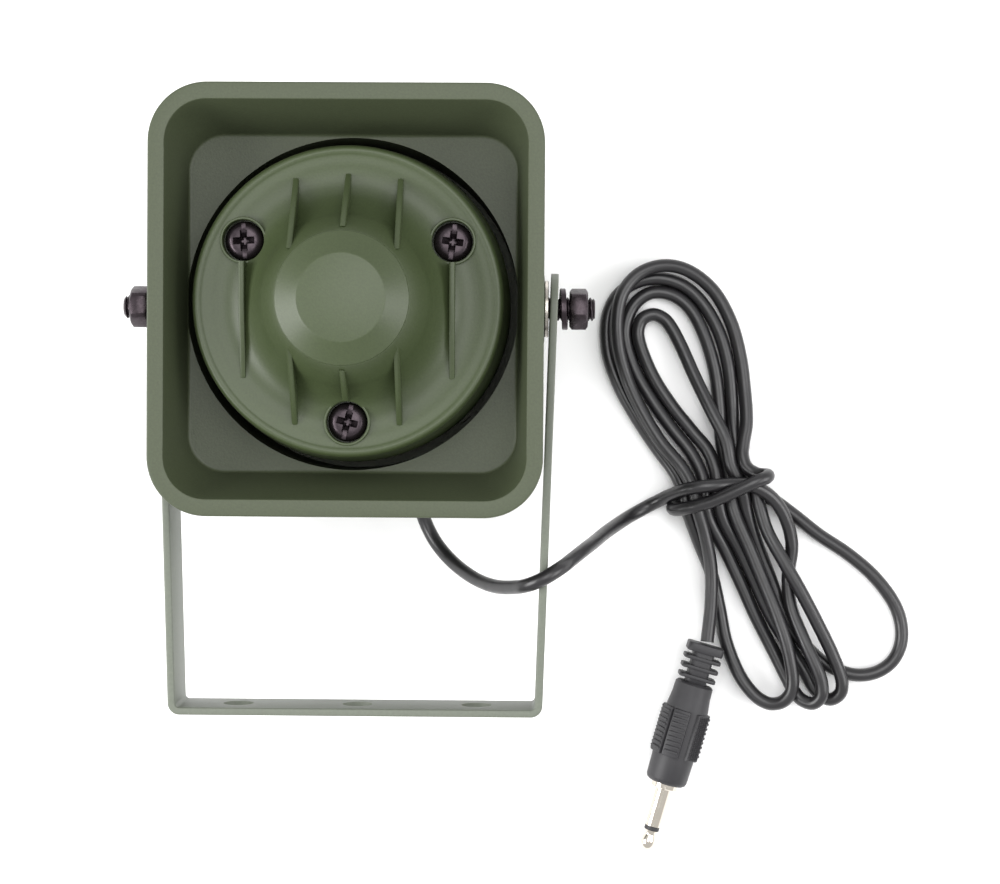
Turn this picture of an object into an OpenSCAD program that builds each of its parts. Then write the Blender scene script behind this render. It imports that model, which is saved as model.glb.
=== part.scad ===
// Horn speaker of an electronic game caller, lying on its back with the mouth up.
// X runs across the mouth, Y from the bracket's foot to the far rim, Z out of the mouth.
// Everything is in millimetres. The housing stands on the plane Z = 0.

/* [Mouth] */
// Width of the mouth rim across X
mouth_w = 78; // [74:0.5:78]
// Height of the mouth rim across Y
mouth_h = 85.3; // [80:0.1:90]
// Corner radius of the rim
mouth_r = 11.7; // [9:0.1:13]
// Width of the flat face of the rim
rim_flat = 3.4; // [3:0.1:3.6]
// Height of the rim above the surface it lies on
rim_z = 68; // [68:0.5:72]
// Width of the flat floor of the mouth
floor_w = 67.5; // [66:0.1:68]
// Length of the flat floor of the mouth
floor_h = 69.1; // [67:0.1:70]
// Corner radius of the floor
floor_r = 7.7; // [6:0.1:9]
// Height of the floor
floor_z = 49.4; // [48:0.1:50]

/* [Rear housing] */
// Outer radius of the round chamber behind the mouth
chamber_r = 36.9; // [36.5:0.1:37.2]
// Inner radius of the chamber and of the hole in the floor
chamber_bore_r = 33.95; // [33.5:0.05:34]
// Height of the joint between the bell and the rear cover
split_z = 24; // [24:0.5:24.5]
// Outer radius of the rear cover
cover_r = 36; // [35.5:0.1:36.5]
// Wall thickness of the rear cover
cover_wall = 2.2; // [2:0.1:2.4]

/* [Reflector] */
// Outer radius of the reflector's edge
reflector_r = 30.7; // [30:0.1:31]
// Height of the reflector's edge
reflector_z = 59.5; // [59:0.1:60]
// Height of the flat nose
nose_z = 78.6; // [78:0.1:79]
// Radius of the flat nose
nose_r = 8.8; // [8:0.1:9.5]
// Radius of the circle of the three front screws
front_screw_circle = 24; // [23.5:0.1:24.2]
// Thickness of the stiffening ribs
rib_t = 1.2; // [0.8:0.1:1.6]

/* [Bracket] */
// Height of the bracket's pivot axis
pivot_z = 32; // [32:0.1:33]
// Distance from the pivot axis to the outer face of the foot
bracket_reach = 86; // [84:0.5:95]
// Width of the steel strip
strip_w = 15; // [13:0.5:15]
// Thickness of the steel strip
strip_t = 1.6; // [1.5:0.1:1.7]
// Splay of each leg out of square with the foot, in degrees
leg_splay = 1.8; // [1.5:0.1:2]
// Distance of a leg's outer face from the middle, at the pivot
leg_out = 42.05; // [42:0.05:42.1]
// Diameter of the three fixing holes in the foot
foot_hole_d = 6.4; // [5:0.1:7]
// Spacing of the three fixing holes
foot_hole_pitch = 25.4; // [20:0.1:27]

/* [Side fasteners] */
// Nominal diameter of the side bolts
bolt_d = 5; // [5:0.1:5]
// Distance of a bolt's tip from the middle
bolt_tip = 50; // [49:0.5:52]
// Width across the flats of the nuts and bolt heads
nut_af = 8; // [8:0.1:8.5]

/* [Lead] */
// Diameter of the lead
lead_d = 3; // [2.5:0.1:3.2]
// Diameter of the plug's pin
pin_d = 3.5; // [3.5:0.1:3.5]
// Largest diameter of the plug's moulded grip
grip_d = 11; // [10:0.1:11]
// Length of the moulded grip
grip_len = 23.4; // [22:0.1:26]

/* [Hidden] */
$fn = 96;
eps = 0.01;
hull_fn = 32;

green = "#59684a";
dark_green = "#4b593e";
black = "#1d1c1f";
steel = "#9a9a9a";

// The bracket's foot and the far rim are the two ends in Y; the origin is midway between them.
horn_y = (bracket_reach - mouth_h / 2) / 2;

// Mouth and chamber
mouth_band = 7;
bell_wall = 2.4;
waist_z = floor_z - 2.9;
waist_round_z = 38;
baffle_t = 3;
throat_hole_r = 10;
side_boss_r = 7.5;
side_boss_face = 39.3;
post_r = 3.6;
rear_post_r = 3.4;
rear_post_top = 32;

// Reflector
skirt_bottom_z = 34;
skirt_r = 32.2;
boss_r = 4.65;
boss_top_z = 62.6;
boss_seat_z = 59.4;
boss_bottom_z = 56.2;
front_screw_angles = [30, 150, 270];
front_head_r = 3.9;
front_shank_r = 1.9;
front_screw_len = 16;

// Rear cover
cover_floor = 2.4;
cover_round = 6;
gasket_t = 0.8;
rear_screw_circle = 29.4;
rear_screw_angles = [45, 135, 225, 315];
column_r = 3.8;
rear_head_r = 2.8;
rear_recess_r = 3.1;
rear_recess_depth = 5;
rear_shank_r = 1.45;
rear_shank_top = 30;

// Driver, from the back to the front
pad_z = 4;
yoke_z = 5.5;
magnet_z = 8.5;
top_plate_z = 14.5;
frame_z = 17;
driver_r = 20;
pole_r = 8.6;
coil_in_r = 9;
coil_out_r = 9.4;
gap_r = 9.8;

// Lead and gland
gland_x = 11.5;
gland_z = 13;
gland_out_y = -41;
tube_sides = 8;

// Right-hand leg: centre of its bend, worked out from the outer face at the pivot
bend_out_r = 2.5;
bend_in_r = bend_out_r - strip_t;
bend_y = -bracket_reach + bend_out_r;
leg_len = (-bend_y + bend_out_r * sin(leg_splay)) / cos(leg_splay);
bend_x = leg_out - bend_out_r * cos(leg_splay) - leg_len * sin(leg_splay);

// Side fasteners, as distances from the middle
head_x = [34.2, 37.7];
flat_washer_x = [39.35, 40.15];
spring_washer_x = [42.35, 44.45];
nut_x = [44.6, 48.5];
flat_washer_r = 6;
bolt_gap = 0.05;

// Route of the lead from the gland over the bracket's right leg to the hank
lead_route = [
    [11.5, -19.3, 13], [11.8, -20.6, 12.7], [13.2, -24.7, 11.5], [15.5, -29.2, 11.9],
    [19.3, -33.3, 15], [23.6, -36.1, 20.5], [28.6, -37.6, 28.5], [33.9, -37.1, 36.8],
    [36.4, -36.3, 40.3], [39.5, -34.8, 41.8], [42.6, -33, 40.4], [46, -31, 34],
    [50.5, -28.4, 21.5], [55.2, -25.8, 9.6], [59.5, -23.5, 3.2], [63.5, -21.4, 1.7],
    [67.2, -19.5, 3.8], [70.2, -18.2, 6.5]];
// Route of the lead from the hank to the plug
tail_route = [[77.6, -38, 2.4], [77.7, -42, 2.6], [77.4, -47, 4], [76.6, -51.8, 5.5]];
// Conductors inside the housing, from the end of the sheath to the solder tags
red_route = [[12.1, -6, 13.5], [10.5, -4, 12], [8, -2.8, 10.8], [5.2, -1.6, 10]];
black_route = [[10.9, -6, 12.5], [7.5, -4.6, 9.5], [2, -3.6, 8.6], [-3.4, -1.7, 9.4]];

// The plug lies on the surface; its axis points along its own turn about Z
plug_pos = [76.4, -52.4, grip_d / 2];
plug_turn = -106;

// ---- outlines and small helpers ----------------------------------------------------

module at_horn() {
    translate([0, horn_y, 0]) children();
}

module at_pivot() {
    translate([0, horn_y, pivot_z]) rotate([0, 90, 0]) children();
}

module rounded_rect(w, h, r) {
    square([w - 2 * r, h], center = true);
    square([w, h - 2 * r], center = true);
    for (sx = [-1, 1], sy = [-1, 1])
        translate([sx * (w / 2 - r), sy * (h / 2 - r)]) circle(r);
}

module plate(w, h, r, z, t) {
    translate([0, 0, z]) linear_extrude(t) rounded_rect(w, h, r, $fn = hull_fn);
}

module ring(r_out, r_in, z0, z1) {
    translate([0, 0, z0]) difference() {
        cylinder(r = r_out, h = z1 - z0);
        translate([0, 0, -1]) cylinder(r = r_in, h = z1 - z0 + 2);
    }
}

// A cylinder along X between two distances from the middle, on the pivot axis
module side_rod(r, x, sides = 96) {
    at_pivot() translate([0, 0, x[0]]) cylinder(r = r, h = x[1] - x[0], $fn = sides);
}

module hex_rod(af, x) {
    at_pivot() translate([0, 0, x[0]]) cylinder(r = af / 2 / cos(30), h = x[1] - x[0], $fn = 6);
}

module on_circle(radius, angles) {
    for (a = angles) rotate([0, 0, a]) translate([radius, 0, 0]) rotate([0, 0, -a]) children();
}

// Unit vectors for a tube's rings: the ring at a point faces along the route there
function unit(v) = v / norm(v);
function heading(p, i) =
    unit((i == len(p) - 1 ? p[i] : p[i + 1]) - (i == 0 ? p[i] : p[i - 1]));
function side_of(d) = unit(cross(d, abs(d[2]) > 0.95 ? [0, 1, 0] : [0, 0, 1]));
function tube_ring(p, i, r, n) =
    let (d = heading(p, i), s = side_of(d), u = cross(s, d))
    [for (k = [0 : n - 1]) p[i] + r * (cos(360 * k / n) * s + sin(360 * k / n) * u)];

// A closed tube of radius r swept along the points p
module tube(p, r, n = tube_sides) {
    points = [for (i = [0 : len(p) - 1]) each tube_ring(p, i, r, n)];
    last = (len(p) - 1) * n;
    sides = [for (i = [0 : len(p) - 2], k = [0 : n - 1])
        [i * n + k, i * n + (k + 1) % n, (i + 1) * n + (k + 1) % n, (i + 1) * n + k]];
    caps = [[for (k = [n - 1 : -1 : 0]) k], [for (k = [0 : n - 1]) last + k]];
    polyhedron(points, concat(sides, caps), convexity = 8);
}

// Smooth points through a route: steps points on a cubic for each of its spans
function spline_point(a, b, c, d, t) =
    0.5 * (2 * b + (c - a) * t + (2 * a - 5 * b + 4 * c - d) * t * t
        + (3 * b - a - 3 * c + d) * t * t * t);
function smooth(p, steps) = let (n = len(p) - 1) concat(
    [for (i = [0 : n - 1], k = [0 : steps - 1])
        spline_point(p[max(i - 1, 0)], p[i], p[i + 1], p[min(i + 2, n)], k / steps)], [p[n]]);

// ---- horn ----------------------------------------------------------------------------

module bell_outside() {
    plate(mouth_w, mouth_h, mouth_r, rim_z - mouth_band, mouth_band, $fn = 96);
    waist_w = floor_w + 2 * bell_wall;
    waist_h = floor_h + 2 * bell_wall;
    hull() {
        plate(mouth_w, mouth_h, mouth_r, rim_z - mouth_band, eps);
        plate(waist_w, waist_h, floor_r + bell_wall, waist_z, eps);
    }
    hull() {
        plate(waist_w, waist_h, floor_r + bell_wall, waist_z, eps);
        translate([0, 0, waist_round_z]) cylinder(r = chamber_r, h = eps, $fn = 64);
    }
    translate([0, 0, split_z]) cylinder(r = chamber_r, h = waist_z - split_z);
}

module horn_bell() color(green) {
    difference() {
        union() {
            at_horn() bell_outside();
            side_rod(side_boss_r, [30, side_boss_face]);
            mirror([1, 0, 0]) side_rod(side_boss_r, [30, side_boss_face]);
        }
        at_horn() {
            hull() {
                plate(mouth_w - 2 * rim_flat + 0.2, mouth_h - 2 * rim_flat,
                      mouth_r - rim_flat, rim_z, 1);
                plate(floor_w, floor_h, floor_r, floor_z, eps);
            }
            translate([0, 0, split_z + baffle_t])
                cylinder(r = chamber_bore_r, h = floor_z - split_z - baffle_t + 1);
            translate([0, 0, split_z - 1]) cylinder(r = throat_hole_r, h = baffle_t + 2);
            on_circle(rear_screw_circle, rear_screw_angles)
                translate([0, 0, split_z - 1]) cylinder(r = rear_shank_r, h = 5, $fn = 32);
        }
        for (m = [0, 1]) mirror([m, 0, 0]) {
            hex_rod(nut_af, [30, head_x[1]]);
            side_rod(bolt_d / 2 + bolt_gap, [head_x[1] - 1, side_boss_face + 1]);
        }
    }
    at_horn() {
        on_circle(front_screw_circle, front_screw_angles)
            ring(post_r, front_shank_r, split_z + baffle_t, boss_bottom_z, $fn = 48);
        on_circle(rear_screw_circle, rear_screw_angles)
            ring(rear_post_r, rear_shank_r, split_z + baffle_t, rear_post_top, $fn = 48);
    }
}

// Radius and height along the front of the reflector, from its nose to its edge
reflector_front = [
    [0, nose_z], [nose_r, nose_z], [12.9, 76.3], [13.3, 75.7], [16.4, 69.4], [17.3, 67.4],
    [18.5, 65.4], [20, 63.6], [21.5, 62.4], [23, 61.8], [24.5, 61.6], [26, 61.75],
    [27.5, 62.1], [29.6, 62.5], [30.5, 61.8], [reflector_r, reflector_z]];
reflector_back = [
    [31.3, 55.5], [skirt_r, 50], [skirt_r, skirt_bottom_z], [skirt_r - 2, skirt_bottom_z],
    [skirt_r - 2, 50], [28.6, 58], [26.4, 59.4], [24.5, 59.2], [22.6, 59.6], [19.6, 61.6],
    [16.2, 65.4], [11.8, 73.8], [8, 76.4], [0, 76.6]];

// A blade standing along Y at distance x, drawn as (Y, Z) points
module rib(x, points) {
    translate([x - rib_t / 2, 0, 0]) rotate([90, 0, 90]) linear_extrude(rib_t) polygon(points);
}

module reflector_ribs() {
    for (x = [-10.4, 10.4]) {
        rib(x, [[24.4, 62.2], [24.4, 60.4], [16, 62.5], [9.6, 72.6], [9.6, 74.4]]);
        rib(x, [[-8.2, 74.6], [-8.2, 72.8], [-16, 62.5], [-24.6, 60.4], [-24.6, 62.1]]);
    }
    rib(0, [[25.4, 61.9], [25.4, 60], [19, 63], [17, 66.6], [13.6, 73.6], [13.9, 75]]);
    rib(0, [[-13.9, 75], [-13.6, 73.6], [-17, 66.6], [-20.6, 61.6], [-20.6, 65.4]]);
    for (x = [-20.8, 20.8])
        rib(x, [[9, 65.4], [9, 60.6], [0, 61.6], [-15.4, 60], [-15.4, 61.9], [0, 65.2]]);
}

module reflector() color(green) at_horn() difference() {
    union() {
        rotate_extrude() polygon(concat(reflector_front, reflector_back));
        reflector_ribs();
        on_circle(front_screw_circle, front_screw_angles)
            translate([0, 0, boss_bottom_z])
                cylinder(r = boss_r, h = boss_top_z - boss_bottom_z, $fn = 64);
    }
    on_circle(front_screw_circle, front_screw_angles) {
        translate([0, 0, boss_seat_z]) cylinder(r = boss_r - 0.5, h = 10, $fn = 64);
        translate([0, 0, boss_bottom_z - 1]) cylinder(r = 2.1, h = 6, $fn = 32);
    }
}

// A domed cross-head screw standing on z = 0 with its shank below
module cross_screw(head_r, head_h, shank_r, shank_len) {
    difference() {
        rotate_extrude($fn = 64)
            polygon([[0, 0], [head_r, 0], [head_r, head_h * 0.3], [head_r * 0.9, head_h * 0.62],
                     [head_r * 0.62, head_h * 0.9], [head_r * 0.3, head_h], [0, head_h]]);
        for (a = [0, 90]) rotate([0, 0, a])
            translate([-head_r * 0.55, -head_r * 0.12, head_h * 0.4])
                cube([head_r * 1.1, head_r * 0.24, head_h]);
    }
    translate([0, 0, -shank_len]) cylinder(r = shank_r, h = shank_len + 0.1, $fn = 32);
}

module front_screws() color(black) at_horn()
    on_circle(front_screw_circle, front_screw_angles) translate([0, 0, boss_seat_z])
        cross_screw(front_head_r, 2.4, front_shank_r, front_screw_len);

// ---- driver --------------------------------------------------------------------------

module throat_tube() color(black) at_horn() rotate_extrude() polygon([
    [6, 27], [16, 27], [16, 28.5], [9, 28.5], [8.2, 31], [8.2, 48], [9.4, 55], [11.6, 59],
    [10.2, 59], [8.2, 55.4], [6.8, 48], [6, 31]]);

module throat_gasket() color(black) at_horn() ring(21, 11.2, 23, split_z);

module driver_frame() color(black) at_horn() rotate_extrude() polygon([
    [16.6, frame_z], [21, frame_z], [21, 23], [11.2, 23], [11.2, 22], [18.4, 22],
    [18.4, 19.4], [16.6, 19.4]]);

module surround() color("#2b2422") at_horn() rotate_extrude() polygon([
    [12.2, 18.9], [13, 18.9], [13.6, 19.6], [14.6, 20], [15.6, 19.6], [16.2, 18.9],
    [16.5, 18.9], [16.5, 19.2], [16.3, 19.2], [15.7, 19.9], [14.6, 20.3], [13.5, 19.9],
    [12.9, 19.2], [12.2, 19.2]]);

// Dome with a flat skirt; it moves along the axis together with the coil
module diaphragm() color("#c9b27c") at_horn() rotate_extrude() polygon([
    [0, 21.7], [3.5, 21.4], [6.5, 20.5], [9, 19.2], [12, 19.2], [12, 18.95], [8.9, 18.95],
    [6.4, 20.2], [3.4, 21.1], [0, 21.4]]);

module voice_coil() color("#b4683a") at_horn() ring(coil_out_r, coil_in_r, 14, 18.95);

module top_plate() color(steel) at_horn() ring(driver_r, gap_r, top_plate_z, frame_z);

module ring_magnet() color("#2e2f33") at_horn() ring(driver_r, 12, magnet_z, top_plate_z);

module yoke() color(steel) at_horn() {
    translate([0, 0, yoke_z]) cylinder(r = driver_r - 0.6, h = magnet_z - yoke_z);
    translate([0, 0, yoke_z]) cylinder(r = pole_r, h = frame_z - yoke_z);
}

module clamp_pad() color("#3a3a3a") at_horn()
    translate([0, 0, pad_z]) cylinder(r = 16, h = yoke_z - pad_z);

module terminal_board() color("#7a4d2a") at_horn()
    translate([-7, -22.2, 9.5]) cube([14, 1.2, 9.5]);

module solder_tags() color("#c9a44c") at_horn() for (x = [-4.2, 4.2])
    translate([x - 1.2, -22.9, 8.2]) difference() {
        cube([2.4, 0.7, 8]);
        translate([1.2, -1, 1.6]) rotate([-90, 0, 0]) cylinder(r = 0.5, h = 3, $fn = 24);
    }

module wire_red() color("#9c2a25") tube(smooth(red_route, 3), 0.6);

module wire_black() color(black) tube(smooth(black_route, 3), 0.6);

module cable_end() color(black) translate([gland_x, -6, gland_z]) rotate([90, 0, 0])
    cylinder(r = lead_d / 2, h = -(horn_y + gland_out_y) - 6, $fn = 48);

module cable_gland() color(black) translate([gland_x, horn_y, gland_z]) rotate([90, 0, 0])
    difference() {
        union() {
            translate([0, 0, 36.4]) cylinder(r = 5, h = 1.2, $fn = 64);
            translate([0, 0, 31]) cylinder(r = 3.4, h = 6, $fn = 64);
            translate([0, 0, 37.5])
                cylinder(r1 = 3.4, r2 = 2.3, h = -gland_out_y - 37.5, $fn = 64);
            translate([0, 0, 28.3]) cylinder(r = 5, h = 0.7, $fn = 64);
            translate([0, 0, 28.3]) cylinder(r = 3.4, h = 4, $fn = 64);
        }
        cylinder(r = lead_d / 2, h = 60, $fn = 48);
    }

// ---- rear cover ----------------------------------------------------------------------

module cover_shell() {
    arc = [for (a = [0 : 15 : 90])
        [cover_r - cover_round * (1 - sin(a)), cover_round * (1 - cos(a))]];
    top = split_z - gasket_t;
    rotate_extrude() polygon(concat([[0, 0]], arc,
        [[cover_r, top], [cover_r - cover_wall, top], [cover_r - cover_wall, 7],
         [cover_r - cover_wall - 4, cover_floor], [0, cover_floor]]));
}

module rear_cover() color(green) {
    difference() {
        union() {
            at_horn() {
                cover_shell();
                ring(16, 13.5, cover_floor, pad_z);
                on_circle(rear_screw_circle, rear_screw_angles)
                    translate([0, 0, cover_floor - 1])
                        cylinder(r = column_r, h = split_z - gasket_t - cover_floor + 1,
                                 $fn = 64);
            }
            translate([gland_x, horn_y - 29, gland_z]) rotate([90, 0, 0])
                cylinder(r = 6.2, h = 7.4, $fn = 64);
        }
        at_horn() on_circle(rear_screw_circle, rear_screw_angles) {
            translate([0, 0, -1]) cylinder(r = rear_recess_r, h = rear_recess_depth + 1,
                                           $fn = 48);
            translate([0, 0, -1]) cylinder(r = 1.7, h = 30, $fn = 32);
        }
        translate([gland_x, horn_y - 27, gland_z]) rotate([90, 0, 0])
            cylinder(r = 3.4, h = 12, $fn = 64);
    }
}

module rear_gasket() color(black) at_horn()
    ring(cover_r - 0.15, cover_r - cover_wall, split_z - gasket_t, split_z);

module rear_screws() color(black) at_horn()
    on_circle(rear_screw_circle, rear_screw_angles) translate([0, 0, rear_recess_depth])
        rotate([180, 0, 0])
            cross_screw(rear_head_r, 2, rear_shank_r, rear_shank_top - rear_recess_depth);

// ---- side fasteners and bracket --------------------------------------------------------

module side_bolt() {
    hex_rod(nut_af, head_x);
    side_rod(bolt_d / 2, [head_x[1] - 0.5, bolt_tip - 0.5]);
    at_pivot() translate([0, 0, bolt_tip - 0.5])
        cylinder(r1 = bolt_d / 2, r2 = bolt_d / 2 - 0.5, h = 0.5);
}

module flat_washer() at_pivot() ring(flat_washer_r, bolt_d / 2 + 0.1, flat_washer_x[0],
                                     flat_washer_x[1]);

// One turn of square wire that rises by its own thickness, so that its ends stand apart
module spring_washer() at_pivot() {
    r_in = bolt_d / 2 + 0.12;
    r_out = 4.4;
    wire = 1.15;
    rise = spring_washer_x[1] - spring_washer_x[0] - wire;
    steps = 30;
    points = [for (i = [0 : steps])
        let (a = 10 + 340 * i / steps, z = spring_washer_x[0] + rise * i / steps)
        each [for (c = [[r_in, 0], [r_out, 0], [r_out, wire], [r_in, wire]])
            [c[0] * cos(a), c[0] * sin(a), z + c[1]]]];
    sides = [for (i = [0 : steps - 1], k = [0 : 3])
        [4 * i + k, 4 * i + (k + 1) % 4, 4 * i + 4 + (k + 1) % 4, 4 * i + 4 + k]];
    polyhedron(points, concat(sides, [[3, 2, 1, 0], [for (k = [0 : 3]) 4 * steps + k]]));
}

// Hexagon nut with both faces chamfered and a smooth running bore
module hex_nut() difference() {
    intersection() {
        hex_rod(nut_af, nut_x);
        at_pivot() translate([0, 0, nut_x[0]]) rotate_extrude() polygon([
            [0, 0], [3.9, 0], [4.65, 0.45], [4.65, 3.45], [3.9, 3.9], [0, 3.9]]);
    }
    side_rod(bolt_d / 2 + bolt_gap, [nut_x[0] - 1, nut_x[1] + 1]);
}

module side_bolt_right() color(black) side_bolt();
module side_bolt_left() color(black) mirror([1, 0, 0]) side_bolt();
module flat_washer_right() color(steel) flat_washer();
module flat_washer_left() color(steel) mirror([1, 0, 0]) flat_washer();
module spring_washer_right() color(black) spring_washer();
module spring_washer_left() color(black) mirror([1, 0, 0]) spring_washer();
module nut_right() color(black) hex_nut();
module nut_left() color(black) mirror([1, 0, 0]) hex_nut();

// One half of the strip's edge outline, from the middle of the foot to the end of a leg
module half_strip() {
    translate([-eps, -bracket_reach]) square([bend_x + 2 * eps, strip_t]);
    translate([bend_x, bend_y]) {
        intersection() {
            difference() {
                circle(bend_out_r);
                circle(bend_in_r, $fn = 48);
            }
            polygon([[0, 0], [0, -9], [9, -9], [9 * cos(leg_splay), -9 * sin(leg_splay)]]);
        }
        rotate([0, 0, -leg_splay])
            translate([bend_in_r, -eps]) square([strip_t, leg_len + strip_w]);
    }
}

module bracket() color(dark_green) at_horn() difference() {
    intersection() {
        translate([0, 0, pivot_z - strip_w / 2]) linear_extrude(strip_w) {
            half_strip();
            mirror([1, 0]) half_strip();
        }
        translate([-60, 0, pivot_z]) {
            rotate([0, 90, 0]) cylinder(r = strip_w / 2, h = 120);
            translate([0, -bracket_reach - 1, -strip_w / 2])
                cube([120, bracket_reach + 1, strip_w]);
        }
    }
    translate([-60, 0, pivot_z]) rotate([0, 90, 0]) cylinder(r = bolt_d / 2 + 0.08, h = 120);
    for (i = [-1, 0, 1]) translate([i * foot_hole_pitch, -bracket_reach - 1, pivot_z])
        rotate([-90, 0, 0]) cylinder(d = foot_hole_d, h = strip_t + 2);
}

// ---- lead and plug ---------------------------------------------------------------------

module lead_run() color(black) tube(smooth(lead_route, 2), lead_d / 2);

// Outer shape of the tied hank: two lobes, one stray loop and the wraps round its waist
module lead_hank() color(black) {
    top = 9;
    linear_extrude(top) hull() {
        translate([68, 19]) circle(15.5, $fn = hull_fn);
        translate([78.5, -17]) circle(9, $fn = hull_fn);
    }
    linear_extrude(top) hull() {
        translate([78.5, -17]) circle(9, $fn = hull_fn);
        translate([92, -60]) circle(7.6, $fn = hull_fn);
        translate([104, -60]) circle(7, $fn = hull_fn);
    }
    linear_extrude(lead_d + 0.4) hull() {
        translate([85, -19]) circle(3.5, $fn = hull_fn);
        translate([110.3, -48.5]) circle(12.3, $fn = hull_fn);
    }
    translate([78.8, -17.4, 0]) rotate([0, 0, 12]) linear_extrude(12.6)
        rounded_rect(19.6, 6.6, 3.2, $fn = hull_fn);
}

module lead_tail() color(black) tube(smooth(tail_route, 3), lead_d / 2);

// Turns a shape drawn along +Z so that it lies along the plug's axis
module on_plug() translate(plug_pos) rotate([0, 0, plug_turn]) rotate([0, 90, 0]) children();

boot_len = 9;
pin_start = boot_len + grip_len;
sleeve_len = 9;
insulator_len = 0.8;

module plug_boot() color(black) on_plug() rotate_extrude($fn = 64) polygon(concat(
    [[0, 0], [4, 0], [4, 1.9], [2.4, 1.9]],
    [for (i = [0 : 2]) each [
        [2.4, 2.9 + 2.15 * i], [4.2, 2.9 + 2.15 * i], [4.2, 3.7 + 2.15 * i],
        [2.4, 3.7 + 2.15 * i]]],
    [[2.4, boot_len], [0, boot_len]]));

module plug_grip() color(black) on_plug() difference() {
    rotate_extrude($fn = 64) polygon([
        [0, boot_len], [4.2, boot_len], [4.4, boot_len + 0.4], [4.6, 12.4],
        [grip_d / 2 - 0.3, 15], [grip_d / 2, 15.6], [grip_d / 2, 25.6], [4.7, 26.8],
        [4.5, pin_start - 0.5], [4.1, pin_start], [0, pin_start]]);
    for (i = [0 : 8]) translate([0, 0, 16.1 + 1.05 * i]) ring(8, grip_d / 2 - 0.3, 0, 0.5);
}

module plug_sleeve() color("#b9b7b0") on_plug() {
    translate([0, 0, pin_start]) cylinder(r = 2.9, h = 1.3, $fn = 64);
    translate([0, 0, pin_start]) cylinder(d = pin_d, h = sleeve_len + 1.3);
}

module plug_insulator() color(black) on_plug()
    translate([0, 0, pin_start + sleeve_len + 1.3]) cylinder(d = pin_d - 0.4,
                                                             h = insulator_len);

module plug_tip() color("#b9b7b0") on_plug()
    translate([0, 0, pin_start + sleeve_len + 1.3 + insulator_len]) rotate_extrude()
        polygon([[0, 0], [1.75, 0], [1.75, 1], [1.2, 1.9], [1.65, 2.7], [1.65, 3], [0.5, 4.6],
                 [0, 4.7]]);

horn_bell();
reflector();
front_screws();
throat_tube();
throat_gasket();
driver_frame();
surround();
diaphragm();
voice_coil();
top_plate();
ring_magnet();
yoke();
clamp_pad();
terminal_board();
solder_tags();
wire_red();
wire_black();
cable_end();
cable_gland();
rear_cover();
rear_gasket();
rear_screws();
side_bolt_left();
side_bolt_right();
flat_washer_left();
flat_washer_right();
bracket();
spring_washer_left();
spring_washer_right();
nut_left();
nut_right();
lead_run();
lead_hank();
lead_tail();
plug_boot();
plug_grip();
plug_sleeve();
plug_insulator();
plug_tip();
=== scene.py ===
"""Horn speaker of an electronic game caller, finished for its portrait.

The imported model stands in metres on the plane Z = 0: X runs across the mouth,
Y from the bracket's foot to the far rim and Z out of the mouth. Sizes below are in
millimetres; a mesh is turned into metres when it is made.
"""

import logging
import math
from collections.abc import Sequence
from dataclasses import dataclass
from enum import Enum

import bmesh
import bpy
from mathutils import Matrix, Vector


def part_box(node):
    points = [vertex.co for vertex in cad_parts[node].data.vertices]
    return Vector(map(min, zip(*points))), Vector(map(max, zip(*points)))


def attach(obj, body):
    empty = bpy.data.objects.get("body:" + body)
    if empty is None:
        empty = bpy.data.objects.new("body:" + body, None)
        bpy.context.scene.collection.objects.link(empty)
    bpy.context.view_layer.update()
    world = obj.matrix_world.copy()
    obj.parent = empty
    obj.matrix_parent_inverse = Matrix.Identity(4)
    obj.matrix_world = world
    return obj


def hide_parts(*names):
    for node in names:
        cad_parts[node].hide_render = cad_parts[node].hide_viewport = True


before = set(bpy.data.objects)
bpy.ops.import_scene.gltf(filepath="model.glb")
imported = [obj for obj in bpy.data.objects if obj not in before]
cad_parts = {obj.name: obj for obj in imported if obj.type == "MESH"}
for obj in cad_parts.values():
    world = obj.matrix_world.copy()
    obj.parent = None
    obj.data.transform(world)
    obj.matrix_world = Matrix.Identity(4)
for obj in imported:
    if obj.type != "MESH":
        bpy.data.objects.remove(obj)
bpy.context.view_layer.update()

MM = 0.001
FINE = 192
LOG = logging.getLogger("horn_speaker")

Point = tuple[float, float, float]
Profile = list[tuple[float, float]]


# ---- finishes ----------------------------------------------------------------------


def linear(hex_colour: str) -> tuple[float, float, float, float]:
    """Turns an sRGB hex colour into a linear one.

    Args:
        hex_colour: Six hex digits after a hash.

    Returns:
        Linear red, green, blue and an alpha of one.
    """
    channels = [int(hex_colour[i : i + 2], 16) / 255 for i in (1, 3, 5)]
    return (*(c / 12.92 if c <= 0.04045 else ((c + 0.055) / 1.055) ** 2.4 for c in channels), 1.0)


def add_node(
    tree: bpy.types.NodeTree,
    kind: str,
    settings: dict | None = None,
    values: dict | None = None,
    links: dict | None = None,
) -> bpy.types.Node:
    """Adds a node with its settings, its input values and its incoming links.

    Args:
        tree: Shader or geometry tree that gets the node.
        kind: Blender's type name of the node.
        settings: Attributes of the node by name.
        values: Input values by socket name or number.
        links: Output sockets that feed the inputs, by socket name or number.

    Returns:
        The new node.
    """
    node = tree.nodes.new(kind)
    for key, value in (settings or {}).items():
        setattr(node, key, value)
    for key, value in (values or {}).items():
        node.inputs[key].default_value = value
    for key, source in (links or {}).items():
        tree.links.new(source, node.inputs[key])
    return node


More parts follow.
